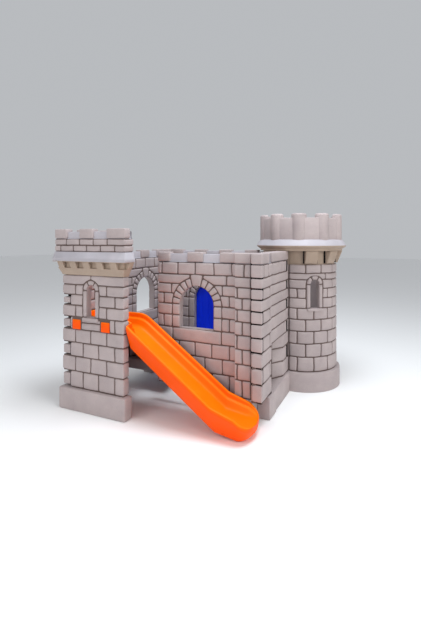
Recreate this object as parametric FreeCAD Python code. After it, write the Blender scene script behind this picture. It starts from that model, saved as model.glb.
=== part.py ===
import FreeCAD, Part
import math
import os

# Play castle: masonry panels moulded in plastic, a slide, a plank door and a round corner tower.
# Millimetres. The working frame has X to the right along the front wall, Y to the back, Z up.
# The finished pieces are moved so that the origin is the bottom centre of the whole castle.

# Masonry shared by every panel
plinth_height = 187.0
course_heights = [140.0, 126.0, 120.0, 113.0, 108.0, 97.0, 92.0, 86.0, 83.0]
frieze_course = 107.0
merlon_height = 86.0
crenel_drop = 15.0
groove_width = 9.0
groove_depth = 9.0
cut_reach = 10.0
joint_margin = 20.0
stone_length = 168.0
wall_thickness = 80.0
panel_gap = 0.3

# Front wall and left wall, one moulding used twice
wall_length = 916.0
wall_face_y = 441.0
wall_start_x = 37.0
pilaster_step = 51.0
pilaster_start = 763.0
pilaster_ramp = 19.0
wall_foot_start = 445.0
wall_first_joint = 63.0
wall_stone_length = 159.0
wall_long_joints = (0.36, 0.725)
merlon_width = 150.0
merlon_pitch = 304.0
first_merlon_end = 125.0
middle_merlon_start = 301.0
last_merlon_start = 609.0

# Wide arched window of both walls
window_centre = 385.0
window_half_width = 164.0
window_trim = 68.0
keystone_rise = 29.0
voussoir_count = 11

# Slit window of both towers
slit_half_width = 46.0
slit_trim = 37.0
slit_spring = 1023.0
slit_stones = 5
slit_sill_height = 27.0
slit_sill_reach = 10.0

# Square tower
tower_width = 657.0
tower_panel_thickness = 74.0
tower_plinth_front = 30.0
tower_plinth_left = 15.0
tower_plinth_right = 33.0
tower_depth = 604.7
tower_side_thickness = 70.0
tower_return_thickness = 62.0
tower_return_reach = 195.0
finger_depth = 92.0
finger_clearance = 6.0
finger_inset = 5.0
slit_offset = 311.5
tower_first_joint = 144.0
tower_side_first_joint = 90.0
cornice_overhang = 60.0
cornice_underside_top = 1270.0
cornice_lip_top = 1300.0
cornice_slope_top = 1352.0
cornice_lip_inset = 6.0
parapet_overhang = 45.0
parapet_thickness = 75.0
parapet_course = 54.0
parapet_crenel_height = 60.0
parapet_merlon_height = 84.0
parapet_merlon_width = 136.5
parapet_middle_merlon = 276.0
parapet_stone_length = 145.0
parapet_first_joints = (65.0, 130.0)
corbel_pitch = 142.0
corbel_pocket_width = 66.0
corbel_pocket_height = 80.0
corbel_pocket_back = 12.0

# Right wall with its corner post
post_width = 93.0
post_face_y = 345.0
post_depth = 265.0
post_step = 15.0
right_wall_thickness = 110.0
right_plinth_step = 16.0
right_foot_start_y = 500.0
right_foot_end = 80.0
right_foot_low_step = 8.0
right_merlon_gap = 60.0
right_long_joint = 300.0
right_short_joint = 12.0
niche_stone = 12.0
hook_width = 50.0
hook_length = 80.0
niche_start_y = 650.0
niche_end_y = 1039.0
niche_depth = 78.0
niche_splay = 125.0

# Back wall with its doorway
back_wall_y = 1430.0
back_first_joint = 110.0
door_centre_x = 50.0
door_half_width = 160.0
door_clearance = 4.0
door_thickness = 30.0
door_plank_count = 4
door_plank_groove = 6.0
door_floor_gap = 12.0
hinge_pin_radius = 5.0
hinge_pin_clearance = 0.06
hinge_knuckle_radius = 12.0
hinge_knuckle_length = 60.0
hinge_lug_length = 22.0
hinge_stand_off = 15.0
hinge_heights = [150.0, 620.0]
hinge_end_gap = 0.3

# Round tower
round_x = 1070.0
round_y = 1575.0
round_radius = 360.0
round_plinth_radius = 390.0
round_wall = 60.0
round_facets = 56
round_stones = 14
round_bond_angle = -57.0
round_seam_angle = -96.0
round_slit_angle = -55.0
round_small_course = 53.0
round_trim_set = 8.0
corbel_count = 10
corbel_angle = -62.0
corbel_width_angle = 19.0
corbel_rise = 17.0
corbel_reach = 55.0
corbel_free_arc = (180.0, 215.0)
arch_angle = 225.0
arch_half_width = 170.0
arch_spring = 560.0

# Crown of the round tower
crown_seat_gap = 0.5
crown_underside = 16.0
crown_lip_rise = 43.0
crown_lip_radius = 452.0
crown_lip_edge = 12.0
crown_slope_rise = 110.0
crown_radius = 420.0
crown_wall = 48.0
crown_crenel_height = 319.0
crown_merlon_height = 43.0
crown_merlon_count = 10
crown_merlon_angle = -80.0
crown_merlon_radius = 74.0
crown_merlon_bulge = 24.0

# Slide
slide_width = 375.0
slide_rim_height = 800.0
slide_depth = 205.0
slide_trough = 110.0
slide_tuck = 70.0
slide_side_wall = 34.0
slide_rim_round = 20.0
slide_rim_edge = 7.0
slide_ledge = 16.0
slide_ledge_top = 0.35
slide_ledge_low = 0.42
slide_floor_side = 42.0
slide_trough_flare = 4.0
slide_knee_x = -38.0
slide_run_out_x = 800.0
slide_run_out_rim = 210.0
slide_end_x = 1050.0
slide_end_rim = 104.0
slide_end_lift = 45.0
slide_end_round = 110.0
slide_end_power = 2.6
slide_end_taper_start = 120.0
slide_bend = 45.0
landing_end_gap = 17.0
landing_shoulder = 4.0
landing_gate_inset = 120.0
landing_gate_width = 160.0
lug_width = 90.0
lug_height = 99.0
lug_inset = 68.0
lug_pitch = 311.0
lug_clearance = 3.0

# Deck and steps inside
deck_start_y = 620.0
deck_end_y = 1100.0
deck_end_x = 50.0
deck_thickness = 98.0
deck_leg = 80.0
step_plate = 40.0
step_end_x = -120.0
step_low_height = 470.0
step_high_height = 650.0
step_low_depth = 280.0
step_high_depth = 282.0

os.makedirs("parts", exist_ok=True)


def vec(x, y, z=0.0):
    return FreeCAD.Vector(x, y, z)


def levels():
    # Heights of the course grooves, from the top of the plinth upward
    heights = [plinth_height]
    for height in course_heights:
        heights.append(heights[-1] + height)
    return heights


def below(heights, top):
    # Joint heights that leave at least a thin stone under the given top
    return [z for z in heights if z < top - 2.0 * groove_width]


level = levels()
window_sill = level[4]
window_block = level[3]
window_spring = level[6]
slit_sill = level[5]
door_spring = level[5]
frieze_top = level[9] + frieze_course
merlon_top = frieze_top + merlon_height
wall_core_top = merlon_top - crenel_drop
parapet_top = cornice_slope_top + 2.0 * parapet_course
panel_end = wall_start_x + wall_length
left_wall_start_y = tower_depth + panel_gap
left_wall_face_x = tower_return_reach - tower_width
landing_start_x = tower_side_thickness + landing_end_gap - tower_width
landing_gate_start = landing_start_x + landing_gate_inset
lug_centres = [landing_start_x + lug_inset, landing_start_x + lug_inset + lug_pitch]
slide_slope = (slide_rim_height - slide_run_out_rim) / (slide_run_out_x - slide_knee_x)


def box(x0, x1, y0, y1, z0, z1):
    return Part.makeBox(x1 - x0, y1 - y0, z1 - z0, vec(x0, y0, z0))


def plan_wire(points, z):
    corners = [vec(x, y, z) for x, y in points]
    return Part.makePolygon(corners + [corners[0]])


def prism(points, z0, z1):
    return Part.Face(plan_wire(points, z0)).extrude(vec(0, 0, z1 - z0))


def upright(points, y0, y1):
    # A flat outline in X and Z, pushed from y0 to y1
    corners = [vec(x, y0, z) for x, z in points]
    return Part.Face(Part.makePolygon(corners + [corners[0]])).extrude(vec(0, y1 - y0, 0))


def inset(points, depth):
    # Plan outline moved inward by depth, with mitred corners
    area = 0.0
    count = len(points)
    for index in range(count):
        xa, ya = points[index]
        xb, yb = points[(index + 1) % count]
        area += xa * yb - xb * ya
    side = 1.0 if area > 0.0 else -1.0
    moved = []
    for index in range(count):
        xa, ya = points[index - 1]
        xb, yb = points[index]
        xc, yc = points[(index + 1) % count]
        first = math.hypot(xb - xa, yb - ya)
        second = math.hypot(xc - xb, yc - yb)
        n1 = (-side * (yb - ya) / first, side * (xb - xa) / first)
        n2 = (-side * (yc - yb) / second, side * (xc - xb) / second)
        scale = depth / (1.0 + n1[0] * n2[0] + n1[1] * n2[1])
        moved.append((xb + scale * (n1[0] + n2[0]), yb + scale * (n1[1] + n2[1])))
    return moved


def arch_points(centre, half_width, base, spring):
    # Arch outline in X and Z, round head on two straight jambs
    points = [(centre + half_width, base)]
    segments = 16
    for index in range(segments + 1):
        angle = math.pi * index / segments
        points.append((centre + half_width * math.cos(angle), spring + half_width * math.sin(angle)))
    points.append((centre - half_width, base))
    return points


def bond(start, end, first, pitch, shifted):
    # Joint positions of one course, none closer to an end than a fifth of a stone
    joints = []
    place = first - (0.5 * pitch if shifted else 0.0)
    while place < end - 0.2 * pitch:
        if place > start + 0.2 * pitch:
            joints.append(place)
        place += pitch
    return joints


def coursed(outline, heights, core_top):
    # Stone courses standing out from a core that shows as the grooves between them
    core_outline = inset(outline, groove_depth)
    half = 0.5 * groove_width
    body = prism(core_outline, heights[0] - half, core_top)
    bands = []
    for low, high in zip(heights[:-1], heights[1:]):
        bands.append(prism(outline, low + half, high - half))
    return body.fuse(bands)


def face_joints(positions, face_y, sign, low, high):
    # Upright grooves in a face that looks along -Y (sign -1) or +Y (sign +1)
    half = 0.5 * groove_width
    cuts = []
    for x in positions:
        y0 = min(face_y + sign, face_y - sign * groove_depth)
        y1 = max(face_y + sign, face_y - sign * groove_depth)
        cuts.append(box(x - half, x + half, y0, y1, low + half, high - half))
    return cuts


def side_joints(positions, face_x, sign, low, high):
    # Upright grooves in a face that looks along X
    half = 0.5 * groove_width
    cuts = []
    for y in positions:
        x0 = min(face_x + sign, face_x - sign * groove_depth)
        x1 = max(face_x + sign, face_x - sign * groove_depth)
        cuts.append(box(x0, x1, y - half, y + half, low + half, high - half))
    return cuts


def wedge_ring(centre, spring, inner, outer, keystone, count, y0, y1):
    # Voussoirs round an arch head, the middle one raised to a keystone
    stones = []
    gap = groove_width
    middle = count // 2
    for index in range(count):
        start = math.pi * index / count
        end = math.pi * (index + 1) / count
        reach = outer + (keystone if index == middle else 0.0)
        points = []
        for radius, first, last in ((inner, start, end), (reach, end, start)):
            trim = 0.5 * gap / radius
            for step in range(3):
                angle = first + (last - first) * step / 2.0
                angle += trim * (1.0 - step) * (1.0 if last > first else -1.0)
                points.append((centre + radius * math.cos(angle), spring + radius * math.sin(angle)))
        stones.append(upright(points, y0, y1))
    return stones


def window_cuts(body, centre, half, trim, sill, spring, faces, depth, block, keystone, count, joints):
    # Arched opening with trim stones on each of the named faces
    outer = half + trim
    reach = outer + groove_width
    for face_y, sign in faces:
        inner_y = face_y - sign * groove_depth
        y0 = min(face_y + cut_reach * sign, inner_y)
        y1 = max(face_y + cut_reach * sign, inner_y)
        pocket = upright(arch_points(centre, reach, block, spring), y0, y1)
        if keystone > 0.0:
            key = math.pi * (reach + keystone) / count * 0.5
            crest = spring + reach + keystone
            pocket = pocket.fuse(box(centre - key, centre + key, y0, y1, spring, crest))
        body = body.cut(pocket)
        stone_y0 = min(face_y, inner_y - sign)
        stone_y1 = max(face_y, inner_y - sign)
        stones = wedge_ring(centre, spring, half, outer, keystone, count, stone_y0, stone_y1)
        gap = 0.5 * groove_width
        heights = [sill] + joints + [spring]
        for low, high in zip(heights[:-1], heights[1:]):
            stones.append(box(centre - outer, centre - half, stone_y0, stone_y1, low + gap, high - gap))
            stones.append(box(centre + half, centre + outer, stone_y0, stone_y1, low + gap, high - gap))
        if sill - block > groove_width:
            stones.append(box(centre - outer, centre + outer, stone_y0, stone_y1, block + gap, sill - gap))
        body = body.fuse(stones)
    opening = upright(arch_points(centre, half, sill, spring), -depth, 2.0 * depth)
    return body.cut(opening)


def wall_joint_list(shifted):
    return bond(0.0, wall_length, wall_first_joint, wall_stone_length, shifted)


def wall_panel():
    # Front or left wall in its own frame: face on y = 0, free end on x = 0
    outline = [
        (0.0, 0.0),
        (pilaster_start - pilaster_ramp, 0.0),
        (pilaster_start, -pilaster_step),
        (wall_length, -pilaster_step),
        (wall_length, wall_thickness),
        (0.0, wall_thickness),
    ]
    heights = level + [frieze_top]
    body = coursed(outline, heights, wall_core_top)
    half = 0.5 * groove_width
    foot = [
        (wall_foot_start, 0.0),
        (pilaster_start - pilaster_ramp, 0.0),
        (pilaster_start, -pilaster_step),
        (wall_length, -pilaster_step),
        (wall_length, wall_thickness),
        (wall_foot_start, wall_thickness),
    ]
    body = body.fuse(prism(foot, 0.0, plinth_height - half))
    cuts = []
    courses = list(zip(heights[:-1], heights[1:]))
    for index, (low, high) in enumerate(courses):
        if index == len(courses) - 2:
            positions = [wall_length * share for share in wall_long_joints]
        else:
            positions = wall_joint_list(index % 2 == 1)
        for x in positions:
            if pilaster_start - pilaster_ramp - joint_margin < x < pilaster_start + joint_margin:
                x = pilaster_start + joint_margin
            face = -pilaster_step if x > pilaster_start else 0.0
            cuts += face_joints([x], face, -1.0, low, high)
    body = body.cut(cuts)
    merlons = [(0.0, first_merlon_end), (last_merlon_start, wall_length)]
    merlons.append((middle_merlon_start, middle_merlon_start + merlon_width))
    for start, end in merlons:
        cap = prism(outline, frieze_top + half, merlon_top)
        cap = cap.common(box(start, end, -2.0 * pilaster_step, 2.0 * wall_thickness, 0.0, merlon_top))
        body = body.fuse(cap)
    faces = [(0.0, -1.0), (wall_thickness, 1.0)]
    body = window_cuts(
        body, window_centre, window_half_width, window_trim, window_sill, window_spring, faces,
        4.0 * wall_thickness, window_block, keystone_rise, voussoir_count, [level[5]],
    )
    return body


def place(shape, x, y, angle):
    moved = shape.copy()
    moved.rotate(vec(0, 0), vec(0, 0, 1), angle)
    moved.translate(vec(x, y))
    return moved


def frustum(low, high, z0, z1):
    # Tapering block between two plan rectangles given as x0, x1, y0, y1
    wires = []
    for (x0, x1, y0, y1), z in ((low, z0), (high, z1)):
        wires.append(plan_wire([(x0, y0), (x1, y0), (x1, y1), (x0, y1)], z))
    return Part.makeLoft(wires, True, True)


def grown(rect, left, right, front, back):
    x0, x1, y0, y1 = rect
    return (x0 - left, x1 + right, y0 - front, y1 + back)


def cornice(rect, sides):
    # Flared cornice and parapet over one tower panel; sides says which edges overhang
    left, right, front, back = sides
    far = cornice_overhang
    near = parapet_overhang
    wide = grown(rect, far * left, far * right, far * front, far * back)
    tucked = far - cornice_lip_inset
    lip_in = grown(rect, tucked * left, tucked * right, tucked * front, tucked * back)
    top = grown(rect, near * left, near * right, near * front, near * back)
    body = frustum(rect, lip_in, level[9] + 0.5 * groove_width, cornice_underside_top)
    body = body.fuse(box(wide[0], wide[1], wide[2], wide[3], cornice_underside_top, cornice_lip_top))
    body = body.fuse(frustum(wide, top, cornice_lip_top, cornice_slope_top))
    core = grown(top, *(-groove_depth * side for side in sides))
    core_top = parapet_top + parapet_crenel_height
    body = body.fuse(box(core[0], core[1], core[2], core[3], cornice_slope_top, core_top))
    half = 0.5 * groove_width
    rows = [cornice_slope_top, cornice_slope_top + parapet_course, parapet_top]
    for low, high in zip(rows[:-1], rows[1:]):
        body = body.fuse(box(top[0], top[1], top[2], top[3], low + half, high - half))
    return body, top


def tower_front_panel():
    rect = (-tower_width, 0.0, 0.0, tower_panel_thickness)
    outline = [(rect[0], rect[2]), (rect[1], rect[2]), (rect[1], rect[3]), (rect[0], rect[3])]
    body = coursed(outline, level, level[9] + groove_width)
    half = 0.5 * groove_width
    plinth = box(
        rect[0] - tower_plinth_left, rect[1] + tower_plinth_right, -tower_plinth_front,
        tower_panel_thickness, 0.0, plinth_height - half,
    )
    body = body.fuse(plinth)
    cuts = []
    first = rect[0] + tower_first_joint
    for index, (low, high) in enumerate(zip(level[:-1], level[1:])):
        if index == len(level) - 2:
            positions = [rect[0] + slit_offset]
        else:
            positions = bond(rect[0], rect[1], first, stone_length, index % 2 == 0)
        cuts += face_joints(positions, 0.0, -1.0, low, high)
    body = body.cut(cuts)
    top_body, top = cornice(rect, (1.0, 1.0, 1.0, 0.0))
    body = body.fuse(top_body)
    body = body.cut(box(top[0] + parapet_thickness, top[1] - parapet_thickness, top[2] + parapet_thickness,
                        top[3] + 1.0, cornice_slope_top, parapet_top + parapet_merlon_height))
    body = body.cut(corbel_pockets(rect))
    body = body.cut(parapet_joints(top))
    body = body.fuse(front_merlons(top))
    centre = rect[0] + slit_offset
    body = window_cuts(
        body, centre, slit_half_width, slit_trim, slit_sill, slit_spring, [(0.0, -1.0)],
        4.0 * tower_panel_thickness, slit_sill, 0.0, slit_stones,
        below([level[6], level[7]], slit_spring),
    )
    sill = box(centre - slit_half_width - slit_trim, centre + slit_half_width + slit_trim,
               -slit_sill_reach, groove_depth + 2.0, slit_sill - slit_sill_height, slit_sill)
    body = body.fuse(sill)
    body = body.cut(finger_slots())
    holes = []
    for x in lug_centres:
        holes.append(lug_box(x, lug_clearance, -1.0, tower_panel_thickness + 1.0))
    return body.cut(holes)


def corbel_pockets(rect):
    # Dark pockets between the little corbels that carry the cornice lip
    pockets = []
    x = rect[1] - 2.0
    low = cornice_underside_top - corbel_pocket_height
    while x > rect[0]:
        pockets.append(box(x - 0.5 * corbel_pocket_width, x + 0.5 * corbel_pocket_width,
                           -2.0 * cornice_overhang, -corbel_pocket_back, low, cornice_underside_top - 4.0))
        x -= corbel_pitch
    return pockets


def parapet_joints(top):
    cuts = []
    for index, first in enumerate(parapet_first_joints):
        low = cornice_slope_top + index * parapet_course
        places = bond(top[0], top[1], top[0] + first, parapet_stone_length, False)
        cuts += face_joints(places, top[2], -1.0, low, low + parapet_course)
    return cuts


def front_merlons(top):
    width = parapet_merlon_width
    base = parapet_top + 0.5 * groove_width
    crest = parapet_top + parapet_merlon_height
    back = top[2] + parapet_thickness
    middle = top[0] + parapet_middle_merlon
    starts = [(top[0], top[0] + width), (middle, middle + 1.06 * width), (top[1] - 1.35 * width, top[1])]
    return [box(x0, x1, top[2], back, base, crest) for x0, x1 in starts]


def finger_rows():
    return [(level[index], level[index + 1]) for index in (0, 2, 4, 6)]


def finger_slots():
    slots = []
    for low, high in finger_rows():
        slots.append(box(-tower_width - 1.0, -tower_width + finger_depth, -1.0,
                         tower_panel_thickness + 1.0, low + groove_width, high - groove_width))
    return slots


def tower_side_panel():
    # Left side of the square tower with a short return that meets the left wall
    start = tower_panel_thickness + panel_gap
    x0 = -tower_width
    x1 = x0 + tower_side_thickness
    y1 = tower_depth
    outline = [
        (x0, start), (x1, start), (x1, y1 - tower_return_thickness),
        (left_wall_face_x, y1 - tower_return_thickness), (left_wall_face_x, y1), (x0, y1),
    ]
    body = coursed(outline, level, level[9] + groove_width)
    half = 0.5 * groove_width
    plinth = [
        (x0 - tower_plinth_left, start), (x1, start), (x1, y1 - tower_return_thickness),
        (left_wall_face_x, y1 - tower_return_thickness), (left_wall_face_x, y1),
        (x0 - tower_plinth_left, y1),
    ]
    body = body.fuse(prism(plinth, 0.0, plinth_height - half))
    cuts = []
    for index, (low, high) in enumerate(zip(level[:-1], level[1:])):
        positions = bond(start, y1, start + tower_side_first_joint, stone_length, index % 2 == 1)
        cuts += side_joints(positions, x0, -1.0, low, high)
    body = body.cut(cuts)
    rect = (x0, x1, start, y1)
    top_body, top = cornice(rect, (1.0, 0.0, 0.0, 1.0))
    body = body.fuse(top_body)
    width = parapet_merlon_width
    base = parapet_top + 0.5 * groove_width
    crest = parapet_top + parapet_merlon_height
    for y in (start + width, top[3] - width):
        body = body.fuse(box(top[0], top[1], y, y + width, base, crest))
    body = body.fuse(box(left_wall_face_x - tower_return_thickness, left_wall_face_x,
                         y1 - tower_return_thickness, y1, level[9], cornice_underside_top))
    fingers = []
    for low, high in finger_rows():
        fingers.append(box(x0 + finger_inset, x0 + finger_depth - finger_clearance - finger_inset,
                           finger_clearance, start + finger_inset, low + groove_width + finger_clearance,
                           high - groove_width - finger_clearance))
    return body.fuse(fingers)


def right_wall_face():
    return panel_end + panel_gap + post_width - post_step


def right_wall_panel():
    # Corner post and right wall in one moulding, with a splayed niche low down
    x0 = panel_end + panel_gap
    x_post = x0 + post_width
    x_face = right_wall_face()
    x_inner = x_face - right_wall_thickness
    y_post = post_face_y + post_depth
    y_end = round_y - 0.7 * round_radius
    y_inner = wall_face_y + wall_thickness + panel_gap
    outline = [
        (x0, post_face_y), (x_post, post_face_y), (x_post, y_post), (x_face, y_post),
        (x_face, y_end), (x_inner, y_end), (x_inner, y_inner), (x0, y_inner),
    ]
    heights = level + [frieze_top]
    body = coursed(outline, heights, wall_core_top)
    half = 0.5 * groove_width
    foot = [
        (x0, right_foot_start_y), (x_post + right_plinth_step, right_foot_start_y),
        (x_post + right_plinth_step, y_post + right_foot_end),
        (x_post + right_foot_low_step, y_post + right_foot_end), (x_post + right_foot_low_step, y_end),
        (x_inner, y_end), (x_inner, y_inner), (x0, y_inner),
    ]
    body = body.fuse(prism(foot, 0.0, plinth_height - half))
    cuts = []
    for index, (low, high) in enumerate(zip(heights[:-1], heights[1:])):
        if index % 2 == 0:
            joints = [y_post - right_merlon_gap, y_post + right_long_joint]
        else:
            joints = [y_post + right_short_joint, niche_end_y + joint_margin]
        cuts += side_joints(joints[:1], x_post if joints[0] < y_post else x_face, 1.0, low, high)
        cuts += side_joints(joints[1:], x_face, 1.0, low, high)
    niche = [
        (x_face + 1.0, niche_start_y), (x_face + 1.0, niche_end_y), (x_face, niche_end_y),
        (x_face - niche_depth, niche_end_y - niche_splay), (x_face - niche_depth, niche_start_y),
    ]
    cuts.append(prism(niche, plinth_height - half, level[3] - half))
    body = body.cut(cuts)
    merlons = [(post_face_y, y_post - right_merlon_gap), (y_post + right_merlon_gap, y_end)]
    for start, end in merlons:
        cap = prism(outline, frieze_top + half, merlon_top)
        body = body.fuse(cap.common(box(x_inner - 1.0, x_post + 1.0, start, end, 0.0, merlon_top)))
    body = body.fuse(niche_stones(x_face))
    body = body.cut(tower_clearance())
    return body.cut(hook_slots(x_face))


def niche_stones(x_face):
    # Courses on the splayed far side of the niche
    stones = []
    half = 0.5 * groove_width
    depth = niche_depth
    for low, high in zip(level[:3], level[1:4]):
        points = [
            (x_face - 2.0, niche_end_y + 1.0), (x_face - depth - 1.0, niche_end_y - niche_splay + 1.0),
            (x_face - depth - 1.0, niche_end_y - niche_splay - niche_stone),
            (x_face - 2.0, niche_end_y - niche_stone),
        ]
        stones.append(prism(points, low + half, high - half))
    return stones


def tower_clearance():
    # Room that a flat panel leaves round the round tower
    shaft = Part.makeCylinder(round_radius + panel_gap, 2.0 * merlon_top, vec(round_x, round_y, -1.0))
    foot_radius = round_plinth_radius + panel_gap
    base = Part.makeCylinder(foot_radius, plinth_height + panel_gap, vec(round_x, round_y, -1.0))
    return shaft.fuse(base)


def hook_slots(x_face):
    # Gaps beside the tower where the interlocking fingers show
    slots = []
    spans = []
    reach = round_y - math.sqrt(round_radius ** 2 - (round_x - x_face) ** 2)
    for index in (0, 2, 4, 6):
        low = level[index] + 1.5 * groove_width
        high = level[index + 1] - 0.5 * groove_width
        spans.append((low, high))
    spans.append((level[9] + groove_width, frieze_top - groove_width))
    for low, high in spans:
        slots.append(box(x_face - 0.9 * hook_width, x_face + 0.1 * hook_width, reach - 0.25 * hook_length,
                         reach + 0.75 * hook_length, low, high))
    return slots


def back_wall_start():
    return left_wall_face_x + pilaster_step + panel_gap


def back_wall_panel():
    # Back wall in the working frame, its inner face looking to the front
    x0 = back_wall_start()
    x1 = round_x - 0.6 * round_radius
    y0 = back_wall_y
    y1 = y0 + wall_thickness
    outline = [(x0, y0), (x1, y0), (x1, y1), (x0, y1)]
    heights = level + [frieze_top]
    body = coursed(outline, heights, wall_core_top)
    half = 0.5 * groove_width
    body = body.fuse(box(x0, x1, y0, y1, 0.0, plinth_height - half))
    cuts = []
    for index, (low, high) in enumerate(zip(heights[:-1], heights[1:])):
        positions = bond(x0, x1, x0 + back_first_joint, stone_length, index % 2 == 1)
        cuts += face_joints(positions, y0, -1.0, low, high)
    body = body.cut(cuts)
    start = x0
    while start < x1:
        cap = box(start, min(start + merlon_width, x1), y0, y1, frieze_top + half, merlon_top)
        body = body.fuse(cap)
        start += merlon_pitch
    faces = [(y0, -1.0), (y1, 1.0)]
    for face_y, sign in faces:
        inner_y = face_y - sign * groove_depth
        pocket_y = sorted((face_y + cut_reach * sign, inner_y))
        reach = door_half_width + window_trim + groove_width
        body = body.cut(upright(arch_points(door_centre_x, reach, -1.0, door_spring), *pocket_y))
        stone_y = sorted((face_y, inner_y - sign))
        outer = door_half_width + window_trim
        stones = wedge_ring(door_centre_x, door_spring, door_half_width, outer, 0.0, voussoir_count,
                            *stone_y)
        heights_jamb = [-half, level[1], level[3], door_spring]
        for low, high in zip(heights_jamb[:-1], heights_jamb[1:]):
            for side in (-1.0, 1.0):
                x_pair = sorted((door_centre_x + side * door_half_width, door_centre_x + side * outer))
                stones.append(box(x_pair[0], x_pair[1], stone_y[0], stone_y[1], low + half, high - half))
        body = body.fuse(stones)
    opening = upright(arch_points(door_centre_x, door_half_width, -1.0, door_spring), y0 - 99.0, y1 + 99.0)
    body = body.cut(opening)
    body = body.fuse(hinge_lugs(y1))
    return body.cut(tower_clearance())


def hinge_axis():
    return (door_centre_x - door_half_width, back_wall_y + wall_thickness + hinge_stand_off)


def hinge_lugs(face_y):
    # Lugs of the back wall above and below each knuckle, bored for the pin
    ax, ay = hinge_axis()
    lugs = []
    for z in hinge_heights:
        for base in (z - hinge_lug_length - hinge_end_gap, z + hinge_knuckle_length + hinge_end_gap):
            lug = box(ax - hinge_knuckle_radius - door_clearance, ax, face_y - groove_depth - 1.0,
                      ay + hinge_knuckle_radius, base, base + hinge_lug_length)
            lug = lug.fuse(Part.makeCylinder(hinge_knuckle_radius, hinge_lug_length, vec(ax, ay, base)))
            bore = Part.makeCylinder(hinge_pin_radius, hinge_lug_length + 2.0, vec(ax, ay, base - 1.0))
            lugs.append(lug.cut(bore))
    return lugs


def hinge_pins():
    ax, ay = hinge_axis()
    length = hinge_knuckle_length + 2.0 * (hinge_lug_length + hinge_end_gap)
    pins = []
    for z in hinge_heights:
        base = z - hinge_lug_length - hinge_end_gap
        pins.append(Part.makeCylinder(hinge_pin_radius, length, vec(ax, ay, base)))
    return Part.makeCompound(pins)


def door_leaf():
    # Plank door with two knuckles that turn on the pins
    ax, ay = hinge_axis()
    outer_y = back_wall_y + wall_thickness - 2.0
    inner_y = outer_y - door_thickness
    half = door_half_width - door_clearance
    leaf = upright(arch_points(door_centre_x, half, door_floor_gap, door_spring), inner_y, outer_y)
    plank = 2.0 * half / door_plank_count
    grooves = []
    for index in range(1, door_plank_count):
        x = door_centre_x - half + index * plank
        for y in (inner_y, outer_y):
            grooves.append(box(x - 0.5 * door_plank_groove, x + 0.5 * door_plank_groove,
                               y - 4.0, y + 4.0, 0.0, 2.0 * door_spring))
    leaf = leaf.cut(grooves)
    for z in hinge_heights:
        barrel = Part.makeCylinder(hinge_knuckle_radius, hinge_knuckle_length, vec(ax, ay, z))
        arm = box(ax + door_clearance, ax + hinge_knuckle_radius + 6.0, outer_y - 6.0, ay, z,
                  z + hinge_knuckle_length)
        leaf = leaf.fuse([barrel, arm])
    bores = []
    for z in hinge_heights:
        bores.append(Part.makeCylinder(hinge_pin_radius + hinge_pin_clearance, hinge_knuckle_length + 2.0,
                                       vec(ax, ay, z - 1.0)))
    return leaf.cut(bores)


def arc_points(radius, start, end):
    # Points of a faceted arc round the tower axis, angles in degrees
    count = max(1, round((end - start) * round_facets / 360.0))
    points = []
    for index in range(count + 1):
        angle = math.radians(start + (end - start) * index / count)
        points.append((round_x + radius * math.cos(angle), round_y + radius * math.sin(angle)))
    return points


def ring_sector(inner, outer, start, end, z0, z1):
    # Part of an upright faceted ring round the tower axis
    return prism(arc_points(outer, start, end) + arc_points(inner, start, end)[::-1], z0, z1)


def round_heights():
    return level + [level[9] + round_small_course]


def radial_joint(angle, low, high):
    half = 0.5 * groove_width
    cut = box(round_x + round_radius - groove_depth, round_x + round_radius + 9.0, round_y - half,
              round_y + half, low + half, high - half)
    cut.rotate(vec(round_x, round_y), vec(0, 0, 1), angle)
    return cut


def round_shell(start, end):
    # One half of the round tower: plinth, courses, frieze and corbels
    inner = round_radius - round_wall
    half = 0.5 * groove_width
    heights = round_heights()
    core_top = merlon_top - corbel_rise
    body = ring_sector(inner, round_radius - groove_depth, start, end, 0.0, core_top)
    pieces = [ring_sector(inner, round_plinth_radius, start, end, 0.0, plinth_height - half)]
    for low, high in zip(heights[:-1], heights[1:]):
        pieces.append(ring_sector(inner, round_radius, start, end, low + half, high - half))
    body = body.fuse(pieces)
    cuts = []
    pitch = 360.0 / round_stones
    for index, (low, high) in enumerate(zip(heights[:-1], heights[1:])):
        if index == len(heights) - 3:
            continue
        angle = round_bond_angle + (0.5 * pitch if index % 2 == 1 else 0.0)
        for step in range(-round_stones, round_stones):
            place_angle = angle + step * pitch
            if start + 4.0 < place_angle < end - 4.0:
                cuts.append(radial_joint(place_angle, low, high))
    body = body.cut(cuts)
    corbels = []
    for step in range(-corbel_count, corbel_count):
        middle = corbel_angle + step * 360.0 / corbel_count
        if corbel_free_arc[0] < middle % 360.0 < corbel_free_arc[1]:
            continue
        if start + 0.5 * corbel_width_angle < middle < end - 0.5 * corbel_width_angle:
            corbels.append(corbel(middle))
    return body.fuse(corbels)


def corbel(angle):
    # Wedge that leans out under the crown
    width = round_radius * math.radians(corbel_width_angle)
    inner = round_radius - groove_depth - 8.0
    low = round_heights()[-1] + corbel_rise
    wires = []
    for z, reach in ((low, round_radius + 6.0), (merlon_top, round_radius + corbel_reach)):
        points = [
            (round_x + inner, round_y - 0.5 * width), (round_x + reach, round_y - 0.5 * width),
            (round_x + reach, round_y + 0.5 * width), (round_x + inner, round_y + 0.5 * width),
        ]
        wires.append(plan_wire(points, z))
    wedge = Part.makeLoft(wires, True, True)
    wedge.rotate(vec(round_x, round_y), vec(0, 0, 1), angle)
    return wedge


def turned(shape, angle):
    # From a local frame whose face looks along -Y to the tower wall at the given angle
    shape = shape.copy()
    shape.translate(vec(0.0, -round_radius))
    shape.rotate(vec(0, 0), vec(0, 0, 1), angle + 90.0)
    shape.translate(vec(round_x, round_y))
    return shape


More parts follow.
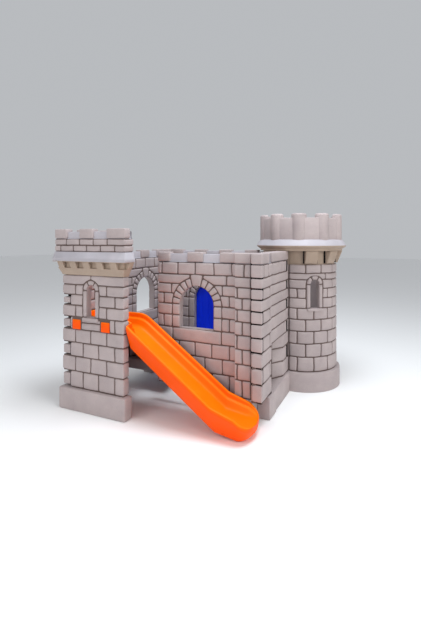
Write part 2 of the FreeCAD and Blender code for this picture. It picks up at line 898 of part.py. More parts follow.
def round_tower_outer_shell():
    body = round_shell(round_seam_angle, round_seam_angle + 180.0)
    reach = slit_half_width + slit_trim + groove_width
    pocket = upright(arch_points(0.0, reach, slit_sill, slit_spring), -40.0, 2.0 * groove_depth)
    body = body.cut(turned(pocket, round_slit_angle))
    outer = slit_half_width + slit_trim
    face = round_trim_set
    stones = wedge_ring(0.0, slit_spring, slit_half_width, outer, 0.0, 5, face, 3.0 * groove_depth)
    gap = 0.5 * groove_width
    heights = [slit_sill] + below([level[6], level[7]], slit_spring) + [slit_spring]
    for low, high in zip(heights[:-1], heights[1:]):
        for side in (-1.0, 1.0):
            x_pair = sorted((side * slit_half_width, side * outer))
            stones.append(box(x_pair[0], x_pair[1], face, 3.0 * groove_depth, low + gap, high - gap))
    stones.append(box(-outer, outer, -slit_sill_reach, 3.0 * groove_depth, slit_sill - slit_sill_height,
                      slit_sill))
    body = body.fuse([turned(stone, round_slit_angle) for stone in stones])
    opening = upright(arch_points(0.0, slit_half_width, slit_sill, slit_spring), -50.0, 2.0 * round_wall)
    return body.cut(turned(opening, round_slit_angle))


def round_tower_inner_shell():
    body = round_shell(round_seam_angle + 180.0, round_seam_angle + 360.0)
    opening = upright(arch_points(0.0, arch_half_width, -1.0, arch_spring), -90.0, 0.6 * round_radius)
    return body.cut(turned(opening, arch_angle))


def round_tower_crown():
    # Overhanging ring with a sloped top and a wall of bulging merlons
    base = merlon_top + crown_seat_gap
    inner = crown_radius - crown_wall
    profile = [
        (round_radius + corbel_reach, base),
        (round_radius + corbel_reach, base + crown_underside),
        (crown_lip_radius, base + crown_lip_rise),
        (crown_lip_radius, base + crown_lip_rise + crown_lip_edge),
        (crown_radius, base + crown_slope_rise),
        (crown_radius, base + crown_crenel_height),
    ]
    wires = [plan_wire(arc_points(radius, 0.0, 360.0)[:-1], z) for radius, z in profile]
    body = Part.makeLoft(wires, True, True)
    crest = base + crown_crenel_height + crown_merlon_height
    foot = base + crown_slope_rise - crown_merlon_bulge
    merlons = []
    sides = 16
    for index in range(crown_merlon_count):
        angle = crown_merlon_angle + index * 360.0 / crown_merlon_count
        distance = crown_radius + crown_merlon_bulge - crown_merlon_radius
        points = []
        for side in range(sides):
            turn = 2.0 * math.pi * side / sides
            points.append((round_x + distance + crown_merlon_radius * math.cos(turn),
                           round_y + crown_merlon_radius * math.sin(turn)))
        merlon = prism(points, foot, crest)
        merlon.rotate(vec(round_x, round_y), vec(0, 0, 1), angle)
        merlons.append(merlon)
    hollow = prism(arc_points(inner, 0.0, 360.0)[:-1], base - 1.0, crest + 1.0)
    return body.fuse(merlons).cut(hollow)


def rim_height(x):
    # Height of the slide's rim along its run
    slope_top = slide_rim_height - slide_slope * (x - slide_knee_x)
    if x <= slide_run_out_x:
        return max(min(slide_rim_height, slope_top), slide_run_out_rim)
    share = (x - slide_run_out_x) / (slide_end_x - slide_run_out_x)
    if share < 0.4:
        return slide_run_out_rim
    return slide_run_out_rim - (slide_run_out_rim - slide_end_rim) * (share - 0.4) / 0.6


def slide_stations(start, end):
    knee = slide_knee_x
    flat = slide_run_out_x
    places = [start, knee - slide_bend, knee + slide_bend, flat - 1.5 * slide_bend, flat + 0.6 * slide_bend]
    share = (slide_end_x - slide_run_out_x) / 10.0
    for index in (3, 5, 7, 9):
        places.append(slide_run_out_x + index * share)
    places += [slide_end_x]
    return [x for x in places if start <= x <= end]


def softened(x):
    # The knee and the foot of the slope bend over a short length
    reach = 0.9 * slide_bend
    return (rim_height(x - reach) + 2.0 * rim_height(x) + rim_height(x + reach)) / 4.0


def outer_section(x, near):
    rim = softened(x)
    taper_start = slide_run_out_x + slide_end_taper_start
    share = max(0.0, (x - taper_start) / (slide_end_x - taper_start))
    low = max(rim - slide_depth, 0.0) + slide_end_lift * share ** 2
    far = slide_width
    points = [
        (near, rim - slide_rim_round), (near + slide_rim_edge, rim), (far - slide_rim_edge, rim),
        (far, rim - slide_rim_round),
        (far - slide_tuck, low), (near + slide_tuck, low),
    ]
    corners = [vec(x, y, z) for y, z in points]
    return Part.makePolygon(corners + [corners[0]])


def trough_section(x, near):
    rim = softened(x)
    floor = max(rim - slide_trough, min(slide_run_out_rim - slide_trough, rim - 6.0))
    depth = rim - floor
    wall = slide_side_wall
    far = slide_width
    top = rim + slide_rim_round
    upper = rim - slide_ledge_top * depth
    lower = rim - slide_ledge_low * depth
    points = [
        (near + wall - slide_trough_flare, top), (far - wall + slide_trough_flare, top), (far - wall, upper),
        (far - wall - slide_ledge, lower), (far - wall - slide_floor_side, floor),
        (near + wall + slide_floor_side, floor), (near + wall + slide_ledge, lower), (near + wall, upper),
    ]
    corners = [vec(x, y, z) for y, z in points]
    return Part.makePolygon(corners + [corners[0]])


def lug_box(x, clearance, y0, y1):
    z0 = level[5] - 9.0 - lug_height
    return box(x - 0.5 * lug_width - clearance, x + 0.5 * lug_width + clearance, y0, y1,
               z0 - clearance, z0 + lug_height + clearance)


def slide():
    # Landing behind the tower panel and the chute beside it, one moulding
    near = tower_panel_thickness + panel_gap
    shoulder = landing_shoulder
    landing = [outer_section(x, near) for x in (landing_start_x, slide_knee_x - slide_bend, shoulder)]
    body = Part.makeLoft(landing, True, True)
    chute = [outer_section(x, 0.0) for x in [shoulder] + slide_stations(shoulder + 1.0, slide_end_x)]
    chute_body = Part.makeLoft(chute, True, True)
    plan = [(shoulder, 0.0)]
    centre_x = slide_end_x - slide_end_round
    half = 0.5 * slide_width
    steps = 16
    power = 2.0 / slide_end_power
    for index in range(steps + 1):
        angle = -0.5 * math.pi + math.pi * index / steps
        across = math.copysign(abs(math.sin(angle)) ** power, math.sin(angle))
        plan.append((centre_x + slide_end_round * abs(math.cos(angle)) ** power, half + half * across))
    plan.append((shoulder, slide_width))
    chute_body = chute_body.common(prism(plan, -1.0, 2.0 * slide_rim_height))
    body = body.fuse(chute_body)
    inner_start = landing_start_x + slide_side_wall
    trough = [trough_section(x, near) for x in (inner_start, slide_knee_x - slide_bend, shoulder)]
    tail = slide_stations(shoulder + 120.0, slide_end_x)
    trough_run = [trough_section(shoulder, near), trough_section(shoulder + 60.0, 0.0)]
    trough_run += [trough_section(x, 0.0) for x in tail]
    last = trough_section(slide_end_x, 0.0)
    last.translate(vec(5.0, 0.0, 0.0))
    trough_run.append(last)
    body = body.cut(Part.makeLoft(trough, True, True))
    body = body.cut(Part.makeLoft(trough_run, True, True))
    floor = slide_rim_height - slide_trough
    gate_end = landing_gate_start + landing_gate_width
    body = body.cut(box(landing_gate_start, gate_end, slide_width - 2.0 * slide_side_wall, slide_width + 1.0,
                        floor, slide_rim_height + 1.0))
    lugs = [lug_box(x, 0.0, 1.0, near + 0.5 * slide_tuck) for x in lug_centres]
    return body.fuse(lugs)


def floor_deck():
    # Low deck behind the landing, on a long leg and a short one
    x0 = left_wall_face_x + panel_gap
    top = plinth_height + deck_thickness
    body = box(x0, deck_end_x, deck_start_y, deck_end_y, plinth_height, top)
    long_leg = box(deck_end_x - deck_leg, deck_end_x, deck_start_y + 0.4 * (deck_end_y - deck_start_y),
                   deck_end_y, 0.0, plinth_height)
    short_leg = box(x0, x0 + 0.5 * deck_leg, deck_end_y - 0.75 * deck_leg, deck_end_y, 0.0, plinth_height)
    return body.fuse([long_leg, short_leg])


def step_unit():
    # Two treads from the deck up to the landing, hollow underneath
    x0 = left_wall_face_x + panel_gap
    x1 = step_end_x
    front = slide_width + panel_gap
    turn = front + step_high_depth
    back = turn - step_plate + step_low_depth
    deck_top = plinth_height + deck_thickness
    body = box(x0, x1, front, turn, step_high_height - step_plate, step_high_height)
    riser = box(x0, x1, turn - step_plate, turn, step_low_height - step_plate, step_high_height)
    tread = box(x0, x1, turn - step_plate, back, step_low_height - step_plate, step_low_height)
    low_riser = box(x0, x1, back - step_plate, back, deck_top, step_low_height)
    cheeks = []
    for x in (x0, x1 - step_plate):
        cheeks.append(box(x, x + step_plate, deck_start_y, back, deck_top, step_low_height))
        cheeks.append(box(x, x + step_plate, deck_start_y, turn, deck_top, step_high_height))
    return body.fuse([riser, tread, low_riser] + cheeks)


def castle():
    pieces = {}
    pieces["tower_front_panel"] = tower_front_panel()
    pieces["tower_side_panel"] = tower_side_panel()
    wall = wall_panel()
    pieces["front_wall_panel"] = place(wall, wall_start_x, wall_face_y, 0.0)
    pieces["left_wall_panel"] = place(wall, left_wall_face_x, left_wall_start_y, 90.0)
    pieces["right_wall_panel"] = right_wall_panel()
    pieces["back_wall_panel"] = back_wall_panel()
    pieces["door_leaf"] = door_leaf()
    pieces["door_hinge_pins"] = hinge_pins()
    pieces["round_tower_outer_shell"] = round_tower_outer_shell()
    pieces["round_tower_inner_shell"] = round_tower_inner_shell()
    pieces["round_tower_crown"] = round_tower_crown()
    pieces["slide"] = slide()
    pieces["floor_deck"] = floor_deck()
    pieces["step_unit"] = step_unit()
    return pieces


x_low = -tower_width - cornice_overhang
x_high = round_x + crown_lip_radius
y_low = -cornice_overhang
y_high = round_y + crown_lip_radius
origin = vec(-0.5 * (x_low + x_high), -0.5 * (y_low + y_high), 0.0)

for name, shape in castle().items():
    shape = shape.removeSplitter()
    shape.translate(origin)
    litres = round(shape.Volume / 1e6, 2)
    print(name, "solids", len(shape.Solids), "faces", len(shape.Faces), "litres", litres, shape.isValid())
    shape.exportStep("parts/" + name + ".step")
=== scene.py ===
import math
import random

import bmesh
import bpy
import numpy as np
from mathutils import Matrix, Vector
from mathutils.geometry import tessellate_polygon


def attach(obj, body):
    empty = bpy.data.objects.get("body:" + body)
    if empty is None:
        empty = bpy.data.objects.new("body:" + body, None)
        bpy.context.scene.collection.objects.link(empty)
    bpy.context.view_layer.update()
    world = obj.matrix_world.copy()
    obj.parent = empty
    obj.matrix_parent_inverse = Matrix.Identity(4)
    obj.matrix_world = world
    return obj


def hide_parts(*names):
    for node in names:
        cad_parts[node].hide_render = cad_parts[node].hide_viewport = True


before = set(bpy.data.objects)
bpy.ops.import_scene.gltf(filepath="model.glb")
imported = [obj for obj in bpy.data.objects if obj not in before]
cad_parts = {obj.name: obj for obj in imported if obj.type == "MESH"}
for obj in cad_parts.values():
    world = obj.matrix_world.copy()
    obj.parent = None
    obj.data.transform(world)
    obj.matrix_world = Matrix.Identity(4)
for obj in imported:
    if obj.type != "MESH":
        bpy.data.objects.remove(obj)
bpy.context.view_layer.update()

# Play castle with a slide. The shapes are worked out in millimetres in the frame that the
# source uses: X along the front wall, Y to the back, Z up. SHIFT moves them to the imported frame.
SHIFT = np.array([-402.5, -983.5, 0.0])
rng = random.Random(41)

LEVELS = [187.0, 327.0, 453.0, 573.0, 686.0, 794.0, 891.0, 983.0, 1069.0, 1152.0, 1259.0]
COURSES = list(zip(LEVELS[:-1], LEVELS[1:]))
GROOVE = 9.0
HALF = 0.5 * GROOVE
DEPTH = 9.0
EDGE = 12.5
EDGE_STEPS = np.array([0.0, 0.12, 0.38, 0.68, 1.0])
WALL_TOP = 1330.0
MERLON_TOP = 1345.0
FOOT_TOP = LEVELS[0] - HALF
COURSE_TOP = LEVELS[10]
MERLON_BASE = COURSE_TOP + HALF
STONE_PITCH = 168.0
THIN = 14.0
CLEAR = 12.0
JOINT_CLEAR = 32.0
SHORTEST = 30.0
MAX_SLANT = 2.5
KEY_WIDTH = 1.8
STONE, GROOVE_SHADE, SMOOTH_SKYLIT, DARK, WARM_SHADE = range(5)


# Meshes

def placed_object(name, data):
    item = bpy.data.objects.new(name, data)
    bpy.context.scene.collection.objects.link(item)
    return item


def filled(points, loops, up=True):
    """Triangles that fill flat outlines, the outer one first; up turns them anticlockwise."""
    flat = [[Vector((p[0], p[1], 0.0)) for p in loop] for loop in loops]
    faces = []
    for a, b, c in tessellate_polygon(flat):
        u = (points[b][0] - points[a][0], points[b][1] - points[a][1])
        v = (points[c][0] - points[a][0], points[c][1] - points[a][1])
        faces.append([a, b, c] if (u[0] * v[1] - u[1] * v[0] > 0.0) == up else [a, c, b])
    return faces


class Shell:
    """Points and faces of one piece, in millimetres."""

    def __init__(self):
        self.points = []
        self.faces = []
        self.slots = []
        self.count = 0

    def add(self, points, faces, slot=STONE):
        points = np.asarray(points, float).reshape(-1, 3)
        self.points.append(points)
        for face in faces:
            self.faces.append([index + self.count for index in face])
            self.slots.append(slot)
        self.count += len(points)

    def grid(self, points, slot=STONE, wrap=False, flip=False):
        """A grid whose rows go up and whose columns go along the outline."""
        rows, cols = points.shape[:2]
        faces = []
        for r in range(rows - 1):
            for c in range(cols if wrap else cols - 1):
                d = (c + 1) % cols
                face = [r * cols + c, r * cols + d, (r + 1) * cols + d, (r + 1) * cols + c]
                faces.append(face[::-1] if flip else face)
        self.add(points, faces, slot)

    def cap(self, ring, slot=STONE, up=True):
        """A flat lid on an anticlockwise ring of points."""
        ring = np.asarray(ring, float)
        self.add(ring, filled(ring, [ring], up), slot)

    def merge(self, other):
        """Takes in another shell's points and faces."""
        self.points += other.points
        self.faces += [[index + self.count for index in face] for face in other.faces]
        self.slots += other.slots
        self.count += other.count

    def placed(self, angle, x, y):
        """A copy turned about Z by an angle in degrees, then moved."""
        other = Shell()
        turn = math.radians(angle)
        c, s = math.cos(turn), math.sin(turn)
        matrix = np.array([[c, s, 0.0], [-s, c, 0.0], [0.0, 0.0, 1.0]])
        other.points = [p @ matrix + np.array([x, y, 0.0]) for p in self.points]
        other.faces = self.faces
        other.slots = self.slots
        other.count = self.count
        return other

    def build(self, name, materials, body, slot, nodes, sharp=38.0):
        """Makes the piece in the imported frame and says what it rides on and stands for."""
        points = (np.concatenate(self.points) + SHIFT) / 1000.0
        mesh = bpy.data.meshes.new(name)
        mesh.from_pydata(points.tolist(), [], self.faces)
        for material in materials:
            mesh.materials.append(material)
        mesh.polygons.foreach_set("material_index", self.slots)
        mesh.polygons.foreach_set("use_smooth", [True] * len(self.faces))
        work = bmesh.new()
        work.from_mesh(mesh)
        bmesh.ops.remove_doubles(work, verts=work.verts, dist=2e-5)
        bmesh.ops.dissolve_degenerate(work, edges=work.edges, dist=1e-6)
        work.to_mesh(mesh)
        work.free()
        mesh.set_sharp_from_angle(angle=math.radians(sharp))
        piece = placed_object(name, mesh)
        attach(piece, body)
        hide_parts(*nodes)


class Outline:
    """A plan outline walked anticlockwise; s runs along it and h stands out from it."""

    def __init__(self, corners, radius=9.0, closed=True, mitre=0.0, pitch=75.0):
        self.closed = closed
        self.pitch = pitch
        corners = [np.array(c, float) for c in corners]
        count = len(corners)
        rows = []
        for i in range(count):
            here = corners[i]
            if not closed and i in (0, count - 1):
                step = corners[1] - here if i == 0 else here - corners[-2]
                step = step / np.linalg.norm(step)
                rows.append((here, np.array([step[1], -step[0]])))
                continue
            first = here - corners[i - 1]
            second = corners[(i + 1) % count] - here
            first = first / np.linalg.norm(first)
            second = second / np.linalg.norm(second)
            n1 = np.array([first[1], -first[0]])
            n2 = np.array([second[1], -second[0]])
            turn = first[0] * second[1] - first[1] * second[0]
            dot = float(n1 @ n2)
            mitred = (n1 + n2) / (1.0 + dot)
            if mitre > 0.0:
                rows.append((here - first * mitre, mitred))
                rows.append((here + second * mitre, mitred))
            elif turn > 0.05:
                reach = radius * math.tan(0.5 * math.acos(max(-1.0, min(1.0, dot))))
                centre = here - first * reach - n1 * radius
                angle = math.acos(max(-1.0, min(1.0, dot)))
                start = math.atan2(n1[1], n1[0])
                for step in range(5):
                    a = start + angle * step / 4.0
                    normal = np.array([math.cos(a), math.sin(a)])
                    rows.append((centre + normal * radius, normal))
            else:
                rows.append((here, mitred))
        if closed:
            rows.append(rows[0])
        self.xy = np.array([r[0] for r in rows])
        self.n = np.array([r[1] for r in rows])
        steps = np.linalg.norm(np.diff(self.xy, axis=0), axis=1)
        self.s = np.concatenate([[0.0], np.cumsum(steps)])
        self.length = float(self.s[-1])

    def at(self, x, y):
        """The s of the outline's point nearest to a plan point."""
        best = (1e18, 0.0)
        for i in range(len(self.s) - 1):
            a, b = self.xy[i], self.xy[i + 1]
            d = b - a
            size = float(d @ d)
            t = 0.0 if size == 0.0 else max(0.0, min(1.0, float((np.array([x, y]) - a) @ d) / size))
            gap = float(np.sum((a + d * t - np.array([x, y])) ** 2))
            if gap < best[0]:
                best = (gap, self.s[i] + t * (self.s[i + 1] - self.s[i]))
        return best[1]

    def evaluate(self, s, h):
        s = np.mod(s, self.length) if self.closed else s
        x = np.interp(s, self.s, self.xy[:, 0]) + np.interp(s, self.s, self.n[:, 0]) * h
        y = np.interp(s, self.s, self.xy[:, 1]) + np.interp(s, self.s, self.n[:, 1]) * h
        return x, y

    def samples(self, low, high):
        """Places between low and high where a mesh needs a column."""
        found = []
        for lap in (-1, 0, 1) if self.closed else (0,):
            found += [v + lap * self.length for v in self.s]
        found = sorted({round(v, 3) for v in found if low + 1.0 < v < high - 1.0})
        ends = [low] + found + [high]
        places = []
        for a, b in zip(ends[:-1], ends[1:]):
            parts = max(1, math.ceil((b - a) / self.pitch))
            places += [a + (b - a) * k / parts for k in range(parts)]
        return places[1:]


class Circle:
    """An upright round wall; s is the length along it from the +X direction."""

    def __init__(self, x, y, radius, pitch=20.0):
        self.x, self.y, self.radius = x, y, radius
        self.length = 2.0 * math.pi * radius
        self.closed = False
        self.pitch = pitch

    def arc(self, degrees):
        return math.radians(degrees) * self.radius

    def evaluate(self, s, h):
        a = s / self.radius
        return self.x + (self.radius + h) * np.cos(a), self.y + (self.radius + h) * np.sin(a)

    def samples(self, low, high):
        parts = max(1, math.ceil((high - low) / self.pitch))
        return [low + (high - low) * k / parts for k in range(1, parts)]


def constant(value):
    return lambda at: value


def stone(shell, line, left, right, low, high, depth=DEPTH, edge=EDGE, swell=2.0, bottom=None, top=None,
          arch=None, waver=1.0, out=None):
    """One moulded stone with rounded edges. left and right may depend on the height, bottom and top
    on the place along the wall. With arch=(centre, spring, radius) the stone is a wedge of an arch:
    its left and right are lengths round the arch at that radius, its low and high are radii."""
    offsets = EDGE_STEPS * edge
    count = len(offsets)
    wide = not callable(left) and not callable(right)
    lefts = left if callable(left) else constant(left)
    rights = right if callable(right) else constant(right)
    if wide:
        inner = [(p - left - edge) / max(1.0, right - left - 2.0 * edge)
                 for p in line.samples(left + edge, right - edge)] if arch is None else [0.33, 0.67]
    else:
        inner = [0.33, 0.67]
    inner = np.array(inner if inner else [0.5])
    fixed = None
    if not wide:
        tests = np.linspace(low, high, 9)
        first = max(lefts(z) for z in tests) + 2.6 * edge
        last = min(rights(z) for z in tests) - 2.6 * edge
        if last - first > SHORTEST:
            fixed = np.array([first] + line.samples(first, last) + [last])
            inner = np.linspace(0.0, 1.0, len(fixed))
    lift = np.array([0.3, 0.7]) if bottom is None and top is None else np.array([0.25, 0.5, 0.75])
    middles = low + edge + (high - low - 2.0 * edge) * lift
    z_rows = np.concatenate([low + offsets, middles, high - offsets[::-1]])
    s = np.zeros((len(z_rows), 2 * count + len(inner)))
    for r, z in enumerate(z_rows):
        a, b = lefts(z), rights(z)
        ka = math.hypot(1.0, (lefts(z + 1.0) - lefts(z - 1.0)) / 2.0)
        kb = math.hypot(1.0, (rights(z + 1.0) - rights(z - 1.0)) / 2.0)
        ka, kb = min(ka, MAX_SLANT), min(kb, MAX_SLANT)
        room = max(2.0, b - a)
        scale = min(1.0, 0.46 * room / (edge * max(ka, kb)))
        s[r, :count] = a + offsets * ka * scale
        s[r, -count:] = b - offsets[::-1] * kb * scale
        first, last = s[r, count - 1], s[r, -count]
        s[r, count:-count] = first + (last - first) * inner if fixed is None else fixed
    z = np.repeat(z_rows[:, None], s.shape[1], axis=1)
    if bottom is not None or top is not None:
        base = np.vectorize(bottom)(s) if bottom is not None else np.full_like(s, low)
        crest = np.vectorize(top)(s) if top is not None else np.full_like(s, high)
        for r in range(len(z_rows)):
            if r < count:
                z[r] = base[r] + offsets[r]
            elif r >= len(z_rows) - count:
                z[r] = crest[r] - offsets[len(z_rows) - 1 - r]
            else:
                z[r] = base[r] + edge + (crest[r] - base[r] - 2.0 * edge) * lift[r - count]
    side = np.full(s.shape[1], edge)
    side[:count] = offsets
    side[-count:] = offsets[::-1]
    rise = np.full(s.shape[0], edge)
    rise[:count] = offsets
    rise[-count:] = offsets[::-1]
    q = np.hypot(1.0 - side[None, :] / edge, 1.0 - rise[:, None] / edge)
    h = -depth * (1.0 - np.sqrt(np.clip(1.0 - q * q, 0.0, 1.0)))
    u = np.linspace(-1.0, 1.0, s.shape[1])[None, :]
    v = np.linspace(-1.0, 1.0, s.shape[0])[:, None]
    h += swell * ((1.0 - u * u) * (1.0 - v * v) - 1.0)
    h += rng.uniform(-1.0, 0.0) if out is None else out
    h = np.where(q >= 0.999, -depth - 1.5, h)
    if arch is not None:
        centre, spring, radius = arch
        angle = 0.5 * math.pi - s / radius
        s, z = centre + z * np.cos(angle), spring + z * np.sin(angle)
    if waver > 0.0:
        ds = 1.5 * np.sin(0.023 * z + 0.011 * s) + 1.0 * np.sin(0.057 * z - 0.031 * s + 1.7)
        dz = 1.2 * np.sin(0.019 * s + 0.6) + 0.8 * np.sin(0.047 * s + 0.02 * z + 2.1)
        s, z = s + waver * ds, z + waver * dz
    x, y = line.evaluate(s, h)
    shell.grid(np.stack([x, y, z], axis=-1))


class Zone:
    """The part of a wall that an opening and its trim take; reach(z) is its half width there."""

    def __init__(self, centre, reach):
        self.centre = centre
        self.reach = reach


def pillar(centre, half):
    """A zone of one width over the whole height."""
    return Zone(centre, arched(half, 0.0, 2.0 * MERLON_TOP))


class Part:
    """A stretch of a course between two joints, which openings may shorten."""

    def __init__(self, left, right, a, b, bottom=None):
        self.left, self.right, self.a, self.b, self.bottom = left, right, a, b, bottom

    def cut(self, zone, centre, heights, kept):
        reach = [zone.reach(z) for z in heights]
        widest = max(reach)
        if widest <= 0.0 or self.b <= centre - widest or self.a >= centre + widest:
            return [self]
        if min(reach) < 0.0 and not kept:
            low, high = heights[0], heights[-1]
            under = self.bottom

            def floor(s):
                z = low if under is None else under(s)
                while z < high - 20.0 and zone.reach(z) > abs(s - centre):
                    z += 1.0
                return z
            return [Part(self.left, self.right, self.a, self.b, floor)]
        gap = HALF if kept else 0.0
        parts = []
        if centre - widest - self.a > THIN or (kept and self.a < centre - SHORTEST):
            edge = self.a + HALF + CLEAR
            parts.append(Part(self.left, lambda z: max(edge, centre - max(zone.reach(z), gap)), self.a,
                              centre - widest if not kept else centre, self.bottom))
        if self.b - centre - widest > THIN or (kept and self.b > centre + SHORTEST):
            limit = self.b - HALF - CLEAR
            parts.append(Part(lambda z: min(limit, centre + max(zone.reach(z), gap)), self.right,
                              centre + widest if not kept else centre, self.b, self.bottom))
        return parts


def arched(half, low, spring, key=0.0, key_top=0.0):
    """Half width of an arched outline at a height."""
    def reach(z):
        if z < low:
            return -1.0
        if z <= spring:
            return half
        rise = z - spring
        width = math.sqrt(half * half - rise * rise) if rise < half else -1.0
        return max(width, key) if z < key_top else width
    return reach


def course(shell, line, low, high, joints, zones=(), keep=(), gap=HALF, **look):
    """One course of stones; joints are places along the outline, zones are left free."""
    z0, z1 = low + HALF, high - HALF
    heights = np.linspace(z0, z1, 7)
    span = line.length if line.closed else 0.0
    places = []
    for joint in joints:
        clear = True
        for zone in zones:
            reach = max(zone.reach(z) for z in heights)
            middle = zone.reach(0.5 * (low + high))
            if reach > 0.0 and abs(joint - zone.centre) < max(middle, 0.5 * reach) + JOINT_CLEAR:
                clear = False
        if clear or any(abs(joint - k) < 1.0 for k in keep):
            places.append(joint)
    places.sort()
    if line.closed:
        places.append(places[0] + span)
    for a, b in zip(places[:-1], places[1:]):
        parts = [Part(a + gap, b - gap, a, b)]
        for zone in zones:
            kept = any(abs(k - zone.centre) < 1.0 for k in keep)
            for lap in (-1, 0, 1) if line.closed else (0,):
                centre = zone.centre + span * lap
                parts = [piece for part in parts for piece in part.cut(zone, centre, heights, kept)]
        for part in parts:
            stone(shell, line, part.left, part.right, z0, z1, bottom=part.bottom, **look)


def both_faces(line, places, y0, y1):
    """Joints at the same X on the front and the back of a wall."""
    return [line.at(x, y) for y in (y0, y1) for x in places]


def arch_ring(shell, line, centre, spring, inner, outer, count, key=0.0, **look):
    """Wedge stones round an arch head. With a key the middle one is wider and taller by that much."""
    radius = 0.5 * (inner + outer)
    widths = [KEY_WIDTH if key > 0.0 and k == count // 2 else 1.0 for k in range(count)]
    unit = math.pi * radius / sum(widths)
    start = -0.5 * math.pi * radius
    for k, width in enumerate(widths):
        raised = key if k == count // 2 else 0.0
        stone(shell, line, start + HALF, start + width * unit - HALF, inner, outer + raised,
              arch=(centre, spring, radius), waver=0.0, **look)
        start += width * unit


def jambs(shell, line, centre, inner, outer, heights, **look):
    """Upright trim stones on both sides of an opening."""
    for low, high in zip(heights[:-1], heights[1:]):
        for a, b in ((centre - outer, centre - inner), (centre + inner, centre + outer)):
            stone(shell, line, a, b, low + HALF, high - HALF, waver=0.0, **look)


def arch_loop(centre, half, base, spring, steps=28):
    """Arched outline in X and Z, walked anticlockwise."""
    loop = [(centre - half, base), (centre + half, base)]
    for k in range(steps + 1):
        a = math.pi * k / steps
        loop.append((centre + half * math.cos(a), spring + half * math.sin(a)))
    return loop


def plate(shell, outer, holes, y0, y1, face_slot=GROOVE_SHADE, rim_slot=GROOVE_SHADE):
    """An upright plate between y0 and y1 with openings; outlines are in X and Z."""
    loops = [outer] + list(holes)
    points = [p for loop in loops for p in loop]
    triangles = filled(points, loops)
    # By default the faces and outer rim take the joint material: painted shade where they show in the
    # grooves.
    shell.add([(x, y0, z) for x, z in points], triangles, face_slot)
    shell.add([(x, y1, z) for x, z in points], [t[::-1] for t in triangles], face_slot)
    for number, loop in enumerate(loops):
        ring = loop + [loop[0]]
        area = sum(a[0] * b[1] - b[0] * a[1] for a, b in zip(ring[:-1], ring[1:]))
        flip = (area > 0.0) == (number == 0)
        grid = np.array([[(x, y, z) for x, z in ring] for y in (y0, y1)], float)
        shell.grid(grid, STONE if number else rim_slot, flip=flip)


def rows_of(line, profile):
    """A closed outline's columns at every (h, z) of a profile."""
    s = np.array([0.0] + line.samples(0.0, line.length))
    rows = []
    for h, z in profile:
        x, y = line.evaluate(s, np.full(len(s), h))
        rows.append(np.stack([x, y, np.full(len(x), z)], axis=-1))
    return np.array(rows)


def turned_rows(x, y, profile, angles):
    """Points about an upright axis at every (radius, z) of a profile."""
    c, s = np.cos(angles), np.sin(angles)
    return np.array([np.stack([x + r * c, y + r * s, np.full(len(angles), z)], axis=-1) for r, z in profile])


def full_turn(sides):
    return 2.0 * math.pi * np.arange(sides) / sides


def band(shell, line, z0, z1, soft=8.0, out=0.0):
    """A block on a closed outline with soft upper and lower edges."""
    turns = [0.5 * math.pi * k / 3.0 for k in range(4)]
    profile = [(out - soft * (1.0 - math.sin(a)), z0 + soft * (1.0 - math.cos(a))) for a in turns]
    profile += [(out - soft * (1.0 - math.cos(a)), z1 - soft * (1.0 - math.sin(a))) for a in turns]
    rows = rows_of(line, profile)
    shell.grid(rows, wrap=True)
    shell.cap(rows[-1])
    shell.cap(rows[0], up=False)


def core(shell, line, z0, z1, top_slot=SMOOTH_SKYLIT, split=None, set_back=0.0):
    """The body behind the stones, in the joint material whose dark tone is painted shade. Above the split it
    takes top_slot, by default the smooth stone whose lighter, bluer tone is painted sky light, and may stand
    further back.
    """
    split = z1 - 3.0 if split is None else split
    back = DEPTH + set_back
    rows = rows_of(line, [(-DEPTH, z0), (-DEPTH, split), (-back, split + 0.5 * set_back), (-back, z1 - 5.0),
                          (-back - 1.5, z1 - 1.5), (-back - 5.0, z1)])
    shell.grid(rows[:2], GROOVE_SHADE, wrap=True)
    shell.grid(rows[1:], top_slot, wrap=True)
    shell.cap(rows[-1], top_slot)
    shell.cap(rows[0], GROOVE_SHADE, up=False)


def notched(shell, line, low):
    """The body of a wall, with the floor of its notches set back on top."""
    core(shell, line, low, WALL_TOP, split=COURSE_TOP, set_back=8.0)


def block(shell, low, high, soft=7.0, taper=None, slot=STONE, steps=2):
    """A box with round edges. taper gives the top's own (x0, x1, y0, y1)."""
    low, high = np.array(low, float), np.array(high, float)
    size = high - low
    soft = min(soft, 0.45 * float(size.min()))
    ticks = [0.5 - 0.5 * math.cos(0.5 * math.pi * k / steps) for k in range(steps)] + [1.0]
    lines = []
    for length in size:
        part = [soft * t for t in ticks]
        lines.append(np.array(part + [length - p for p in part[::-1]]))
    for axis in range(3):
        u, v = (axis + 1) % 3, (axis + 2) % 3
        for end in (0.0, size[axis]):
            gu, gv = np.meshgrid(lines[u], lines[v])
            p = np.zeros(gu.shape + (3,))
            p[..., u], p[..., v], p[..., axis] = gu, gv, end
            q = np.clip(p, soft, size - soft)
            d = p - q
            norm = np.linalg.norm(d, axis=-1, keepdims=True)
            p = q + d / np.maximum(norm, 1e-9) * soft
            if taper is not None:
                share = p[..., 2] / size[2]
                x0, x1, y0, y1 = taper
                fx, fy = p[..., 0] / size[0], p[..., 1] / size[1]
                px = (low[0] + fx * size[0]) * (1.0 - share) + (x0 + fx * (x1 - x0)) * share
                py = (low[1] + fy * size[1]) * (1.0 - share) + (y0 + fy * (y1 - y0)) * share
                p = np.stack([px, py, low[2] + p[..., 2]], axis=-1)
            else:
                p = p + low
            shell.grid(p, slot, flip=(end == 0.0))


def shade(shell, low, high):
    """A near-black box behind a deep joint: painted shadow standing in for the shade inside the gap."""
    block(shell, low, high, soft=0.8, slot=DARK)


